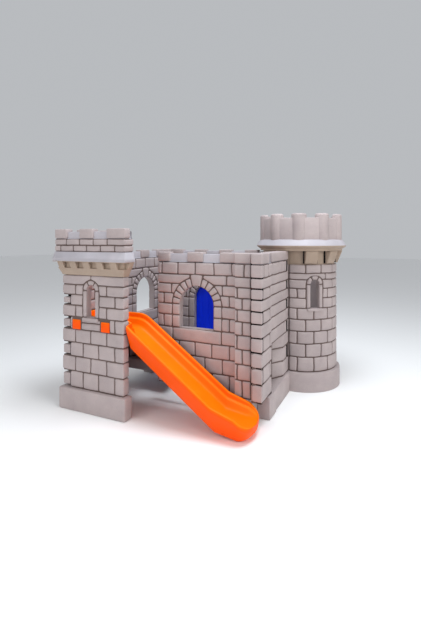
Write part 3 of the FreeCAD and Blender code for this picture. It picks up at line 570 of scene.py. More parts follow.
def drum(shell, x, y, z0, z1, radius, soft=2.0):
    """A short upright cylinder with soft edges."""
    profile = [(radius - soft, z0), (radius, z0 + soft), (radius, z1 - soft), (radius - soft, z1)]
    rows = turned_rows(x, y, profile, full_turn(28))
    shell.grid(rows, wrap=True)
    shell.cap(rows[-1])
    shell.cap(rows[0], up=False)


def rectangle(x0, x1, y0, y1):
    return [(x0, y0), (x1, y0), (x1, y1), (x0, y1)]


# Materials

def node(tree, kind, **values):
    item = tree.nodes.new(kind)
    for key, value in values.items():
        if key in item.inputs:
            item.inputs[key].default_value = value
        else:
            setattr(item, key, value)
    return item


def plastic(name, base, light, rough=0.6, speck=0.0, grain=0.12, wave=0.25, gloss=0.4, under=None):
    """Moulded plastic: two close tones in soft clouds, fine specks and a grained skin. With under given,
    faces that don't look up fade to that colour: painted shade on sides and undersides."""
    material = bpy.data.materials.new(name)
    material.use_nodes = True
    tree = material.node_tree
    tree.nodes.clear()
    where = node(tree, "ShaderNodeTexCoord")

    def link(source, output, target, socket):
        tree.links.new(source.outputs[output], target.inputs[socket])
        return target

    def noise(scale, detail, roughness):
        texture = node(tree, "ShaderNodeTexNoise", Scale=scale, Detail=detail, Roughness=roughness)
        return link(where, "Object", texture, "Vector")

    def remap(source, output, **limits):
        return link(source, output, node(tree, "ShaderNodeMapRange", **limits), "Value")

    def bump(source, strength, distance):
        relief = node(tree, "ShaderNodeBump", Strength=strength, Distance=distance)
        return link(source, "Fac", relief, "Height")

    clouds = noise(5.0, 5.0, 0.6)
    tones = link(clouds, "Fac", node(tree, "ShaderNodeValToRGB"), "Fac")
    for element, place, colour in zip(tones.color_ramp.elements, (0.32, 0.70), (base, light)):
        element.position = place
        element.color = (*colour, 1.0)
    mask = remap(noise(420.0, 2.0, 0.7), "Fac", **{"From Min": 0.56, "From Max": 0.70, "To Max": speck})
    tone = node(tree, "ShaderNodeMixRGB", blend_type="MULTIPLY", Color2=(0.45, 0.40, 0.38, 1.0))
    link(mask, "Result", tone, "Fac")
    link(tones, "Color", tone, "Color1")
    # Painted shade: the colour goes from the cloud tones on up-facing faces to the under colour on upright
    # and downward faces.
    if under is not None:
        facing = node(tree, "ShaderNodeNewGeometry")
        parts = link(facing, "Normal", node(tree, "ShaderNodeSeparateXYZ"), "Vector")
        blend = node(tree, "ShaderNodeMixRGB", blend_type="MIX", Color1=(*under, 1.0))
        link(remap(parts, "Z", **{"From Min": 0.0, "From Max": 0.72}), "Result", blend, "Fac")
        tone = link(tone, "Color", blend, "Color2")
    sheen = remap(clouds, "Fac", **{"To Min": rough - 0.06, "To Max": rough + 0.08})
    coarse = bump(noise(26.0, 3.0, 0.55), wave, 0.004)
    fine = link(coarse, "Normal", bump(noise(260.0, 3.0, 0.6), grain, 0.0012), "Normal")
    skin = node(tree, "ShaderNodeBsdfPrincipled", **{"Specular IOR Level": gloss})
    link(tone, "Color", skin, "Base Color")
    link(sheen, "Result", skin, "Roughness")
    link(fine, "Normal", skin, "Normal")
    link(skin, "BSDF", node(tree, "ShaderNodeOutputMaterial"), "Surface")
    return material


STONES = [
    plastic("stone_plastic", (0.385, 0.325, 0.325), (0.47, 0.40, 0.395), speck=0.4, grain=0.35, wave=0.35),
    # Much darker than the stone: painted shade in the grooves and on the body behind the stones, which are
    # the same plastic.
    plastic("stone_joint_painted_shade", (0.105, 0.074, 0.066), (0.150, 0.110, 0.098), rough=0.8, speck=0.2),
    # Smooth finish, and a lighter, bluer tone that is painted sky light on the ledges, slopes and tops.
    plastic("stone_smooth_painted_skylight", (0.415, 0.395, 0.43), (0.485, 0.46, 0.50), rough=0.5, speck=0.15, grain=0.2,
            wave=0.2),
    # Near black: painted shadow in deep gaps and slots.
    plastic("stone_gap_painted_shadow", (0.008, 0.006, 0.006), (0.014, 0.011, 0.011), rough=0.9, gloss=0.1),
    # Warm and darker: painted shade on undersides, corbels and the band between them.
    plastic("stone_painted_warm_shade", (0.36, 0.275, 0.215), (0.42, 0.325, 0.255), speck=0.3, grain=0.3, wave=0.3),
]
# The under colour is painted shade: the slide's sides and undersides are the same orange plastic, drawn
# deeper red.
orange_skin = plastic("orange_plastic", (1.0, 0.180, 0.0002), (1.0, 0.210, 0.0002), rough=0.40, grain=0.05,
                      wave=0.10, gloss=0.12, under=(1.0, 0.095, 0.0002))
blue_skin = plastic("blue_plastic", (0.001, 0.030, 0.90), (0.001, 0.040, 1.0), rough=0.45, grain=0.08,
                    wave=0.15, gloss=0.2)
grey_skin = plastic("grey_plastic", (0.34, 0.300, 0.310), (0.42, 0.370, 0.380), speck=0.25, grain=0.3,
                    wave=0.3)
pin_skin = plastic("pin_plastic", (0.10, 0.10, 0.11), (0.14, 0.14, 0.15), rough=0.45, speck=0.1)


def stonework(shell, name, panel):
    """Makes a piece of masonry that stands for one panel of the solids."""
    shell.build(name, STONES, "castle", "stone_plastic", [panel])


# Front wall and left wall

WALL_LENGTH, WALL_DEEP = 916.0, 80.0
RAMP_START, RAMP_END, RAMP_OUT = 744.0, 763.0, 51.0
WINDOW, WINDOW_HALF, WINDOW_TRIM = 385.0, 164.0, 68.0
WINDOW_SILL, WINDOW_SPRING = 686.0, 891.0
FOOT_START = 445.0
EVEN_JOINTS = [63.0, 216.0, 374.0, 531.0, 690.0, 826.0]
ODD_JOINTS = [140.0, 301.0, 465.0, 627.0, 783.0]
TOP_JOINTS = [330.0, 665.0]
FRIEZE_JOINTS = [41.0, 205.0, 374.0, 549.0, 712.0, 843.0]
KEY_HALF = 68.0
END_GAP = 16.0
WALL_MERLONS = ((0.0, 125.0), (301.0, 451.0))
LAST_MERLON = 609.0


def wall_outline(start=0.0, end=WALL_LENGTH):
    return [(start, 0.0), (RAMP_START, 0.0), (RAMP_END, -RAMP_OUT), (end, -RAMP_OUT), (end, WALL_DEEP),
            (start, WALL_DEEP)]


def wall_shell(end_gap):
    """The panel with its window; end_gap is how far its stones stop short of the thick end."""
    shell = Shell()
    line = Outline(wall_outline())
    front = line.at(WINDOW, 0.0)
    back = line.at(WINDOW, WALL_DEEP)
    outer = WINDOW_HALF + WINDOW_TRIM
    reach = arched(outer + GROOVE, LEVELS[4] - 1.0, WINDOW_SPRING, KEY_HALF, LEVELS[9] + 1.0)
    zones = [Zone(front, reach), Zone(back, reach)]
    if end_gap > 0.0:
        zones.append(pillar(line.at(WALL_LENGTH, -RAMP_OUT), end_gap))
    for k, (low, high) in enumerate(COURSES):
        places = {8: TOP_JOINTS, 9: FRIEZE_JOINTS}.get(k, ODD_JOINTS if k % 2 == 1 else EVEN_JOINTS)
        if k == 3:
            places = [p for p in places if abs(p - WINDOW) > outer + 25.0] + [WINDOW - outer, WINDOW + outer]
        joints = [line.at(x, 0.0 if x < RAMP_START + 5.0 else -RAMP_OUT) for x in places]
        joints += [line.at(x, WALL_DEEP) for x in places]
        course(shell, line, low, high, joints, zones)
    for centre in (front, back):
        arch_ring(shell, line, centre, WINDOW_SPRING, WINDOW_HALF, outer, 11, key=29.0)
        jambs(shell, line, centre, WINDOW_HALF, outer, [WINDOW_SILL, LEVELS[5], WINDOW_SPRING])
    thin_end = RAMP_END + 20.0
    hole = arch_loop(WINDOW, WINDOW_HALF, WINDOW_SILL, WINDOW_SPRING)
    plate(shell, rectangle(DEPTH, thin_end, FOOT_TOP, COURSE_TOP), [hole], DEPTH, WALL_DEEP - DEPTH)
    notched(shell, Outline(rectangle(0.0, thin_end, 0.0, WALL_DEEP)), COURSE_TOP - 6.0)
    thick = [(RAMP_START - 25.0, 30.0), (RAMP_START - 5.0, 0.0), (RAMP_END, -RAMP_OUT),
             (WALL_LENGTH, -RAMP_OUT), (WALL_LENGTH, WALL_DEEP), (RAMP_START - 25.0, WALL_DEEP)]
    notched(shell, Outline(thick), FOOT_TOP)
    if end_gap > 0.0:
        shade(shell, (WALL_LENGTH - end_gap - 3.0, DEPTH - 1.0 - RAMP_OUT, LEVELS[0]),
              (WALL_LENGTH - DEPTH + 1.0, 20.0, MERLON_TOP - 4.0))
    band(shell, Outline(wall_outline(FOOT_START)), 0.0, FOOT_TOP)
    for x0, x1 in WALL_MERLONS:
        block(shell, (x0, 0.0, MERLON_BASE), (x1, WALL_DEEP, MERLON_TOP), soft=9.0)
    band(shell, Outline(wall_outline(LAST_MERLON, WALL_LENGTH - end_gap)), MERLON_BASE, MERLON_TOP)
    return shell


stonework(wall_shell(END_GAP).placed(0.0, 37.0, 441.0), "front_wall", "front_wall_panel")
stonework(wall_shell(0.0).placed(90.0, -462.0, 605.0), "left_wall", "left_wall_panel")


# Square tower

TOWER, TOWER_DEEP, TOWER_THICK = 657.0, 604.7, 74.0
SLIT = -TOWER + 311.5
SLIT_HALF, SLIT_TRIM, SLIT_SILL, SLIT_SPRING = 46.0, 37.0, 794.0, 1023.0
SILL_HIGH = 27.0
LIP, PARAPET = 60.0, 45.0
UNDER_TOP, LIP_TOP, SLOPE_TOP = 1270.0, 1300.0, 1352.0
POCKET_LOW = 1212.0
PARAPET_TOP, CRENEL_TOP, CREST = 1460.0, 1520.0, 1544.0
PARAPET_DEEP, SMALL_COURSE = 75.0, 54.0
FINGER = 92.0
FINGER_COURSES = (0, 2, 4, 6)
LUGS, LUG_COURSE = (-502.0, -191.0), 4
RETURN_X = -462.0


def flare(z):
    """How far the cornice stands out below its lip."""
    low, high = LEVELS[9] + HALF, UNDER_TOP
    share = min(1.0, max(0.0, (z - low) / (high - low)))
    return (LIP - 6.0) * share


def cornice(shell, rect, sides, pockets):
    """Flared cornice, lip and slope over a panel; sides are left, right, front and back."""
    x0, x1, y0, y1 = rect
    left, right, front, back = sides

    def loop(h):
        return rectangle(x0 - h * left, x1 + h * right, y0 - h * front, y1 + h * back)
    rows = [(flare(z), z) for z in (LEVELS[9], 1180.0, POCKET_LOW)]
    if pockets:
        rows += [(8.0, POCKET_LOW + 4.0), (8.0, UNDER_TOP - 4.0)]
    rows += [(LIP - 8.0, UNDER_TOP - 4.0), (LIP - 3.0, UNDER_TOP - 2.0), (LIP, UNDER_TOP + 2.0),
             (LIP, LIP_TOP - 5.0), (LIP - 1.5, LIP_TOP - 1.0), (LIP - 4.0, LIP_TOP + 3.0),
             (PARAPET + 3.0, SLOPE_TOP - 6.0), (PARAPET - 2.0, SLOPE_TOP - 1.0), (PARAPET - 10.0, SLOPE_TOP)]
    grid = []
    for h, z in rows:
        ring = []
        points = loop(h)
        for i, (x, y) in enumerate(points):
            px, py = points[i - 1]
            nx, ny = points[(i + 1) % 4]
            first = math.hypot(x - px, y - py)
            second = math.hypot(nx - x, ny - y)
            ring.append((x + (px - x) * 3.0 / first, y + (py - y) * 3.0 / first, z))
            ring.append((x + (nx - x) * 3.0 / second, y + (ny - y) * 3.0 / second, z))
        grid.append(ring)
    brim = next(i for i, (h, z) in enumerate(rows) if z > UNDER_TOP)
    # The underside up to the brim takes the warm darker stone as painted shade; the lip and slope take the
    # smooth stone, whose lighter tone is painted sky light.
    shell.grid(np.array(grid[:brim + 1]), WARM_SHADE, wrap=True)
    shell.grid(np.array(grid[brim:]), SMOOTH_SKYLIT, wrap=True)
    shell.cap(np.array(grid[-1]), SMOOTH_SKYLIT, up=True)
    shell.cap(np.array(grid[0]), WARM_SHADE, up=False)
    return loop(PARAPET)


def small_courses(shell, line, joints):
    """The parapet's body and its low courses, with a list of joints for each course."""
    core(shell, line, SLOPE_TOP - 1.0, CRENEL_TOP, split=PARAPET_TOP, set_back=9.0)
    for k, places in enumerate(joints):
        low = SLOPE_TOP + SMALL_COURSE * k
        course(shell, line, low, low + SMALL_COURSE, places, edge=8.0)


def moved(places, line, other):
    """The places on another outline that are nearest to places on this one."""
    found = []
    for place in places:
        x, y = line.evaluate(np.array([place]), np.array([0.0]))
        found.append(other.at(float(x[0]), float(y[0])))
    return found


def tower_front():
    shell = Shell()
    line = Outline(rectangle(-TOWER, 0.0, 0.0, TOWER_THICK))
    front = line.at(SLIT, 0.0)
    back = line.at(SLIT, TOWER_THICK)
    outer = SLIT_HALF + SLIT_TRIM
    zones = [Zone(front, arched(outer + GROOVE, SLIT_SILL - 1.0, SLIT_SPRING)),
             Zone(back, arched(SLIT_HALF, SLIT_SILL - 1.0, SLIT_SPRING))]
    for k, (low, high) in enumerate(COURSES[:-1]):
        first = -TOWER + STONE_PITCH - 24.0 - (0.5 * STONE_PITCH if k % 2 == 0 else 0.0)
        places = [x for x in (first + STONE_PITCH * n for n in range(5)) if -TOWER + 34.0 < x < -34.0]
        joints = both_faces(line, [SLIT] if k == 8 else places, 0.0, TOWER_THICK)
        here = list(zones)
        if k == LUG_COURSE:
            for x in LUGS:
                here += [pillar(line.at(x, 0.0), 50.0), pillar(line.at(x, TOWER_THICK), 50.0)]
            between = 0.5 * (LUGS[1] - LUGS[0])
            here.append(pillar(line.at(LUGS[0] + between, 0.0), between - 45.0))
            for z0, z1 in ((low, low + 62.0), (low + 62.0, high - SILL_HIGH + 12.0)):
                left, right = line.at(LUGS[0] + 57.0, 0.0), line.at(LUGS[1] - 57.0, 0.0)
                stone(shell, line, left, right, z0 + HALF, z1 - HALF)
        span = line
        if k in FINGER_COURSES:
            first, last = [line.at(-TOWER + FINGER + 4.0, y) for y in (0.0, TOWER_THICK)]
            span = Outline(rectangle(-TOWER + FINGER, 0.0, 0.0, TOWER_THICK))
            joints = moved([j for j in joints if first + 40.0 < j < last - 40.0], line, span)
            centres = moved([zone.centre for zone in here], line, span)
            here = [Zone(centre, zone.reach) for centre, zone in zip(centres, here)]
        course(shell, span, low, high, joints, here, [front, back] if k == 8 else [])
    face = [(-TOWER + FINGER + DEPTH, FOOT_TOP), (-DEPTH, FOOT_TOP), (-DEPTH, LEVELS[9] + HALF)]
    for k in range(8, -1, -1):
        left = -TOWER + DEPTH + (FINGER if k in FINGER_COURSES else 0.0)
        grow = HALF if k % 2 else -HALF
        face.append((left, LEVELS[k + 1] + grow))
        if k:
            face.append((left, LEVELS[k] - grow))
    plate(shell, face, [arch_loop(SLIT, SLIT_HALF, SLIT_SILL, SLIT_SPRING)], DEPTH, TOWER_THICK - DEPTH)
    arch_ring(shell, line, front, SLIT_SPRING, SLIT_HALF, outer, 3)
    jambs(shell, line, front, SLIT_HALF, outer, [SLIT_SILL, SLIT_SPRING])
    block(shell, (SLIT - outer, -10.0, SLIT_SILL - SILL_HIGH), (SLIT + outer, 11.0, SLIT_SILL), soft=6.0)
    foot = Outline(rectangle(-TOWER - 15.0, 33.0, -30.0, TOWER_THICK), radius=14.0)
    band(shell, foot, 0.0, FOOT_TOP, soft=12.0)
    top = cornice(shell, (-TOWER, 0.0, 0.0, TOWER_THICK), (1.0, 1.0, 1.0, 0.0), True)
    low, high = POCKET_LOW - 4.0, UNDER_TOP - 2.0
    # Corbels between the pockets and at both ends, in the warm darker stone: painted shade under the
    # cornice.
    for n in range(5):
        middle = -73.0 - 142.0 * n
        x0, x1 = max(middle - 35.0, -TOWER - 12.0), middle + 35.0
        block(shell, (x0, -flare(POCKET_LOW), low), (x1, 20.0, high), soft=3.0,
              taper=(x0, x1, -LIP + 8.0, 20.0), slot=WARM_SHADE)
    for side, edge in ((-1.0, -TOWER), (1.0, 0.0)):
        inside = edge - side * 10.0
        span = sorted((inside, edge + side * flare(POCKET_LOW)))
        wide = sorted((inside, edge + side * (LIP - 8.0)))
        block(shell, (span[0], 14.0, low), (span[1], TOWER_THICK, high), soft=3.0,
              taper=(*wide, 14.0, TOWER_THICK), slot=WARM_SHADE)
    (x0, y0), (x1, y1) = top[0], top[2]
    y_in = y0 + PARAPET_DEEP
    left, right = x0 + PARAPET_DEEP, x1 - PARAPET_DEEP
    plan = [(x0, y1), (x0, y0), (x1, y0), (x1, y1), (right, y1), (right, y_in), (left, y_in), (left, y1)]
    parapet = Outline(plan, radius=8.0)
    inner = [parapet.at(x, y_in) for x in (x0 + 200.0, x0 + 400.0, x0 + 580.0)]
    joints = []
    for first, pitch in ((x0 + 65.0, 144.5), (x0 + 130.0, 146.0)):
        places = [first + pitch * n for n in range(5)]
        joints.append([parapet.at(x, y0) for x in places if x < x1 - 40.0] + inner)
    small_courses(shell, parapet, joints)
    for a, b in ((x0, x0 + 136.5), (x0 + 276.0, x0 + 420.7), (x1 - 184.3, x1)):
        block(shell, (a, y0, PARAPET_TOP + HALF), (b, y_in, CREST), soft=9.0)
    return shell


def tower_side():
    shell = Shell()
    start = TOWER_THICK + 0.3
    x0, x1 = -TOWER, -TOWER + 70.0
    y1 = TOWER_DEEP
    inner = y1 - 62.0

    def plan(left):
        return [(left, start), (x1, start), (x1, inner), (RETURN_X, inner), (RETURN_X, y1), (left, y1)]
    line = Outline(plan(x0))
    for k, (low, high) in enumerate(COURSES[:-1]):
        shift = 0.0 if k % 2 == 0 else -0.5 * STONE_PITCH
        places = [start + 90.0 + shift + STONE_PITCH * n for n in range(5)]
        places = [y for y in places if start + 34.0 < y < y1 - 34.0]
        joints = [line.at(x0, y) for y in places] + [line.at(x1, y) for y in places if y < y1 - 100.0]
        joints.append(line.at(-560.0 + (40.0 if k % 2 else 0.0), y1))
        course(shell, line, low, high, joints)
    # Its top takes the joint material: painted shade.
    core(shell, line, FOOT_TOP, LEVELS[9] + GROOVE, top_slot=GROOVE_SHADE)
    band(shell, Outline(plan(x0 - 15.0)), 0.0, FOOT_TOP, soft=12.0)
    top = cornice(shell, (x0, x1, start, y1), (1.0, 0.0, 0.0, 1.0), False)
    (left, front), (right, back) = top[0], top[2]
    parapet = Outline(top, radius=8.0)
    joints = []
    for k in range(2):
        places = [y for y in (front + 80.0 + 72.0 * k + 145.0 * n for n in range(4)) if y < back - 40.0]
        joints.append([parapet.at(x, y) for x in (left, right) for y in places])
    small_courses(shell, parapet, joints)
    for y in (start + 136.5, back - 136.5):
        block(shell, (left, y, PARAPET_TOP + HALF), (right, y + 136.5, CREST), soft=9.0)
    block(shell, (-524.0, inner, LEVELS[9] + HALF), (RETURN_X, y1, UNDER_TOP), soft=6.0)
    for k in FINGER_COURSES:
        low, high = COURSES[k]
        # A near-black box in the finger slot: painted shadow.
        block(shell, (x0 + 12.0, start - 20.0, low + 2.0), (x0 + 88.0, start + 5.0, high - 2.0), soft=1.0,
              slot=DARK)
        block(shell, (x0 + 5.0, 6.0, low + 15.0), (x0 + 81.0, start + 5.0, high - 27.0), soft=9.0)
    return shell


stonework(tower_front(), "square_tower_front", "tower_front_panel")
stonework(tower_side(), "square_tower_side", "tower_side_panel")


# Right wall with its corner post

TOWER_X, TOWER_Y, TOWER_R, PLINTH_R = 1070.0, 1575.0, 360.0, 390.0
POST_X0, POST_X1, POST_Y0, POST_Y1 = 953.3, 1046.3, 345.0, 610.0
FACE_X, INNER_X, INNER_Y = 1031.3, 921.3, 521.3
NICHE_Y0, NICHE_Y1, NICHE_DEEP, NICHE_SPLAY = 650.0, 1039.0, 78.0, 125.0


def behind(x, radius):
    """Where a wall's face at x meets the round tower's circle."""
    return TOWER_Y - math.sqrt(radius ** 2 - (TOWER_X - x) ** 2)


def right_wall():
    shell = Shell()
    y_end = behind(FACE_X, TOWER_R) - 1.0
    y_low = behind(FACE_X, PLINTH_R) - 1.5
    y_in = behind(INNER_X, TOWER_R) - 1.0
    start = [(POST_X0, POST_Y0), (POST_X1, POST_Y0), (POST_X1, POST_Y1), (FACE_X, POST_Y1)]
    finish = [(FACE_X, y_end), (INNER_X, y_in), (INNER_X, INNER_Y), (POST_X0, INNER_Y)]
    line = Outline(start + finish)
    for k, (low, high) in enumerate(COURSES):
        if k == 9:
            places = [(POST_X1, POST_Y0 + 70.0), (POST_X1, POST_Y1 - 70.0), (FACE_X, POST_Y1 + 90.0),
                      (FACE_X, POST_Y1 + 290.0), (FACE_X, POST_Y1 + 470.0)]
        elif k % 2 == 0:
            places = [(FACE_X, POST_Y1 + 14.0)]
        else:
            places = [(POST_X1, POST_Y0 + 42.0), (POST_X1, POST_Y1 - 40.0)]
        if k in (1, 3):
            places.append((FACE_X, NICHE_Y1 + 50.0))
        joints = [line.at(*p) for p in places]
        joints += [line.at(INNER_X, y) for y in (620.0 + 84.0 * (k % 2) + STONE_PITCH * n for n in range(4))]
        joints.append(line.at(POST_X0, INNER_Y - 90.0))
        zones = []
        if k < 3:
            first, last = line.at(FACE_X, NICHE_Y0) - 24.0, line.at(FACE_X, NICHE_Y1) + 30.0
            joints = [j for j in joints if not first < j < last]
            zones.append(pillar(line.at(FACE_X, 0.5 * (NICHE_Y0 + NICHE_Y1)), 0.5 * (NICHE_Y1 - NICHE_Y0)))
        if k % 2 == 1:
            zones.append(pillar(line.at(FACE_X, y_end - 34.0), 33.0))
            shade(shell, (FACE_X - 40.0, y_end - 78.0, low + HALF),
                  (FACE_X - DEPTH + 1.0, y_end - 1.0, high - 12.0))
        course(shell, line, low, high, joints, zones, gap=9.0)
    shade(shell, (POST_X0 + 3.0, POST_Y0 + DEPTH - 1.0, LEVELS[0]),
          (POST_X1 - DEPTH + 1.0, POST_Y0 + 60.0, COURSE_TOP))
    niche_top = LEVELS[3] - HALF
    deep_x = FACE_X - NICHE_DEEP
    niche = [(FACE_X, NICHE_Y0), (deep_x, NICHE_Y0), (deep_x, NICHE_Y1 - NICHE_SPLAY), (FACE_X, NICHE_Y1)]
    # The niche body takes the joint material on top: painted shade.
    core(shell, Outline(start + niche + finish, radius=0.5), FOOT_TOP, niche_top, top_slot=GROOVE_SHADE)
    notched(shell, line, niche_top - 0.5)
    splay = Outline(niche[2:], closed=False)
    for low, high in COURSES[:3]:
        stone(shell, splay, 3.0, splay.length - 3.0, low + HALF, high - HALF, depth=12.0, waver=0.0, out=0.0)
    foot = [(POST_X0, 500.0), (POST_X1 + 16.0, 500.0), (POST_X1 + 16.0, POST_Y1 + 80.0),
            (POST_X1 + 8.0, POST_Y1 + 80.0), (POST_X1 + 8.0, y_low), (INNER_X, y_low + 12.0),
            (INNER_X, INNER_Y), (POST_X0, INNER_Y)]
    band(shell, Outline(foot), 0.0, FOOT_TOP)
    first = [(POST_X0, POST_Y0), (POST_X1, POST_Y0), (POST_X1, POST_Y1 - 60.0), (INNER_X, POST_Y1 - 60.0),
             (INNER_X, INNER_Y), (POST_X0, INNER_Y)]
    second = [(FACE_X, POST_Y1 + 60.0), (FACE_X, y_end), (INNER_X, y_in), (INNER_X, POST_Y1 + 60.0)]
    for plan in (first, second):
        band(shell, Outline(plan), MERLON_BASE, MERLON_TOP)
    return shell


stonework(right_wall(), "right_wall", "right_wall_panel")


# Back wall and its door

BACK_X0, BACK_Y = -410.7, 1430.0
DOOR_X, DOOR_HALF, DOOR_SPRING = 50.0, 160.0, 794.0
PIN_X, PIN_Y, KNUCKLE = DOOR_X - DOOR_HALF, BACK_Y + WALL_DEEP + 15.0, 12.0
HINGE_LOW, HINGE_HIGH = (150.0, 620.0), 60.0


def back_wall():
    shell = Shell()
    y1 = BACK_Y + WALL_DEEP
    x_end = TOWER_X - TOWER_R * 0.995 + 60.0
    line = Outline(rectangle(BACK_X0, x_end, BACK_Y, y1))
    front = line.at(DOOR_X, BACK_Y)
    back = line.at(DOOR_X, y1)
    outer = DOOR_HALF + WINDOW_TRIM
    reach = arched(outer + GROOVE, -10.0, DOOR_SPRING)
    zones = [Zone(front, reach), Zone(back, reach)]
    for k, (low, high) in enumerate(COURSES):
        first = BACK_X0 + 110.0 + (-0.5 * STONE_PITCH if k % 2 == 1 else 0.0)
        places = [first + STONE_PITCH * n for n in range(8)]
        places = [x for x in places if BACK_X0 + 20.0 < x < x_end - 60.0]
        course(shell, line, low, high, both_faces(line, places, BACK_Y, y1), zones)
    for centre in (front, back):
        arch_ring(shell, line, centre, DOOR_SPRING, DOOR_HALF, outer, 11)
        jambs(shell, line, centre, DOOR_HALF, outer, [-HALF, LEVELS[1], LEVELS[3], DOOR_SPRING])
    face = [(BACK_X0 + DEPTH, 0.0), (DOOR_X - DOOR_HALF, 0.0), (DOOR_X - DOOR_HALF, DOOR_SPRING)]
    for k in range(1, 28):
        a = math.pi * (1.0 - k / 28.0)
        face.append((DOOR_X + DOOR_HALF * math.cos(a), DOOR_SPRING + DOOR_HALF * math.sin(a)))
    face += [(DOOR_X + DOOR_HALF, DOOR_SPRING), (DOOR_X + DOOR_HALF, 0.0), (x_end - DEPTH, 0.0),
             (x_end - DEPTH, COURSE_TOP), (BACK_X0 + DEPTH, COURSE_TOP)]
    plate(shell, face, [], BACK_Y + DEPTH, y1 - DEPTH, rim_slot=STONE)
    notched(shell, line, COURSE_TOP - 6.0)
    for x0, x1 in ((BACK_X0, DOOR_X - outer - GROOVE), (DOOR_X + outer + GROOVE, x_end - 22.0)):
        band(shell, Outline(rectangle(x0, x1, BACK_Y, y1)), 0.0, FOOT_TOP)
    start = BACK_X0
    while start < x_end - 20.0:
        block(shell, (start, BACK_Y, MERLON_BASE), (min(start + 150.0, x_end), y1, MERLON_TOP), soft=9.0)
        start += 304.0
    for z in HINGE_LOW:
        for base in (z - 22.3, z + HINGE_HIGH + 0.3):
            crest = base + 22.0
            block(shell, (PIN_X - 16.0, y1 - DEPTH - 1.0, base), (PIN_X, PIN_Y + KNUCKLE, crest), soft=2.5)
            drum(shell, PIN_X, PIN_Y, base, crest, KNUCKLE)
    return shell


def door():
    shell = Shell()
    outer_y = BACK_Y + WALL_DEEP - 2.0
    inner_y = outer_y - 30.0
    half = DOOR_HALF - 4.0
    low = 12.0
    body = arch_loop(DOOR_X, half - 1.0, low + 1.0, DOOR_SPRING)
    plate(shell, body, [], inner_y + 4.0, outer_y - 4.0, STONE, STONE)
    plank = 0.5 * half

    def top(s):
        return DOOR_SPRING + math.sqrt(max(0.0, half * half - (s - half) ** 2))
    for face_y, turn in ((inner_y, 1.0), (outer_y, -1.0)):
        ends = [(DOOR_X - turn * half, face_y), (DOOR_X + turn * half, face_y)]
        line = Outline(ends, closed=False, pitch=18.0)

        for k in range(4):
            stone(shell, line, k * plank + 2.0, (k + 1) * plank - 2.0, low, DOOR_SPRING, depth=4.0, edge=5.0,
                  swell=0.3, top=top, waver=0.0, out=0.0)
    for z in HINGE_LOW:
        drum(shell, PIN_X, PIN_Y, z, z + HINGE_HIGH, KNUCKLE)
        block(shell, (PIN_X + 4.0, outer_y - 6.0, z), (PIN_X + 18.0, PIN_Y, z + HINGE_HIGH), soft=3.0)
    return shell


stonework(back_wall(), "back_wall", "back_wall_panel")
door().build("plank_door", [blue_skin], "door", "blue_plastic", ["door_leaf"])


# Round tower

SEAM = -96.0
BAND_TOP, SMALL_TOP = 1130.0, 1217.0
SLIT_ANGLE, ARCH_ANGLE = -55.0, 225.0
ARCH_HALF, ARCH_SPRING = 170.0, 560.0
CORBEL_ANGLE, CORBEL_STEP = -62.0, 36.0
INSIDE_R = 300.0


def round_plate(shell, start, end, inner, outer, z0, z1, opening):
    """Part of an upright ring with one arched opening: (angle, half width, sill, spring)."""
    angle, half, sill, spring = opening
    edge = math.degrees(math.asin(half / outer))
    ticks = list(np.arange(start, end, 3.0)) + [end]
    near = list(angle + edge * np.linspace(-1.0, 1.0, 21))
    ticks = sorted([t for t in ticks if abs(t - angle) > edge + 1.0] + near)

    def head(t):
        across = outer * math.sin(math.radians(t - angle))
        return spring + math.sqrt(max(0.0, half * half - across * across))

    def quad(corners, flip=False, slot=STONE):
        points = []
        for r, t, z in corners:
            a = math.radians(t)
            points.append((TOWER_X + r * math.cos(a), TOWER_Y + r * math.sin(a), z))
        shell.add(points, [[3, 2, 1, 0] if flip else [0, 1, 2, 3]], slot)

    def shelf(za, zb, flip=False):
        quad([(outer, t0, za), (outer, t1, zb), (inner, t1, zb), (inner, t0, za)], flip)

    def upright(t, low, high, flip):
        quad([(outer, t, low), (inner, t, low), (inner, t, high), (outer, t, high)], flip)

    for t0, t1 in zip(ticks[:-1], ticks[1:]):
        hole = abs(0.5 * (t0 + t1) - angle) < edge
        spans = [(head(t0), head(t1), z1)] if hole else [(z0, z0, z1)]
        if hole and sill > z0:
            spans.append((z0, z0, sill))
        for a0, a1, b in spans:
            # The outer face, seen only in the grooves, takes the joint material's painted shade.
            for r, flip, slot in ((outer, False, GROOVE_SHADE), (inner, True, STONE)):
                quad([(r, t0, a0), (r, t1, a1), (r, t1, b), (r, t0, b)], flip, slot)
        if hole:
            shelf(head(t0), head(t1), True)
        if hole and sill > z0:
            shelf(sill, sill)
        shelf(z1, z1)
        if not (hole and sill <= z0):
            shelf(z0, z0, True)
    for t, flip in ((angle - edge, False), (angle + edge, True)):
        upright(t, max(sill, z0), spring, flip)
    for t, flip in ((start, True), (end, False)):
        upright(t, z0, z1, flip)


def round_ring(shell, start, end, profile, slot=STONE):
    """A closed profile of (radius, z) points carried round part of the tower, with flat ends."""
    ticks = np.radians(np.linspace(start, end, max(4, int((end - start) / 2.5))))
    grid = turned_rows(TOWER_X, TOWER_Y, profile + profile[:1], ticks)
    shell.grid(grid, slot)
    ends = list(range(len(profile)))
    shell.add(grid[:-1, 0], [ends[::-1]], slot)
    shell.add(grid[:-1, -1], [ends], slot)


def round_plinth(shell, start, end, gap=None):
    """The wide foot of the round tower with soft edges."""
    spans = [(start, end)] if gap is None else [(start, gap[0]), (gap[1], end)]
    profile = [(INSIDE_R, 0.0), (PLINTH_R - 3.0, 0.0), (PLINTH_R, 3.0), (PLINTH_R, FOOT_TOP - 12.0),
               (PLINTH_R - 3.5, FOOT_TOP - 3.5), (PLINTH_R - 12.0, FOOT_TOP), (INSIDE_R, FOOT_TOP)]
    for a, b in spans:
        round_ring(shell, a, b, profile)


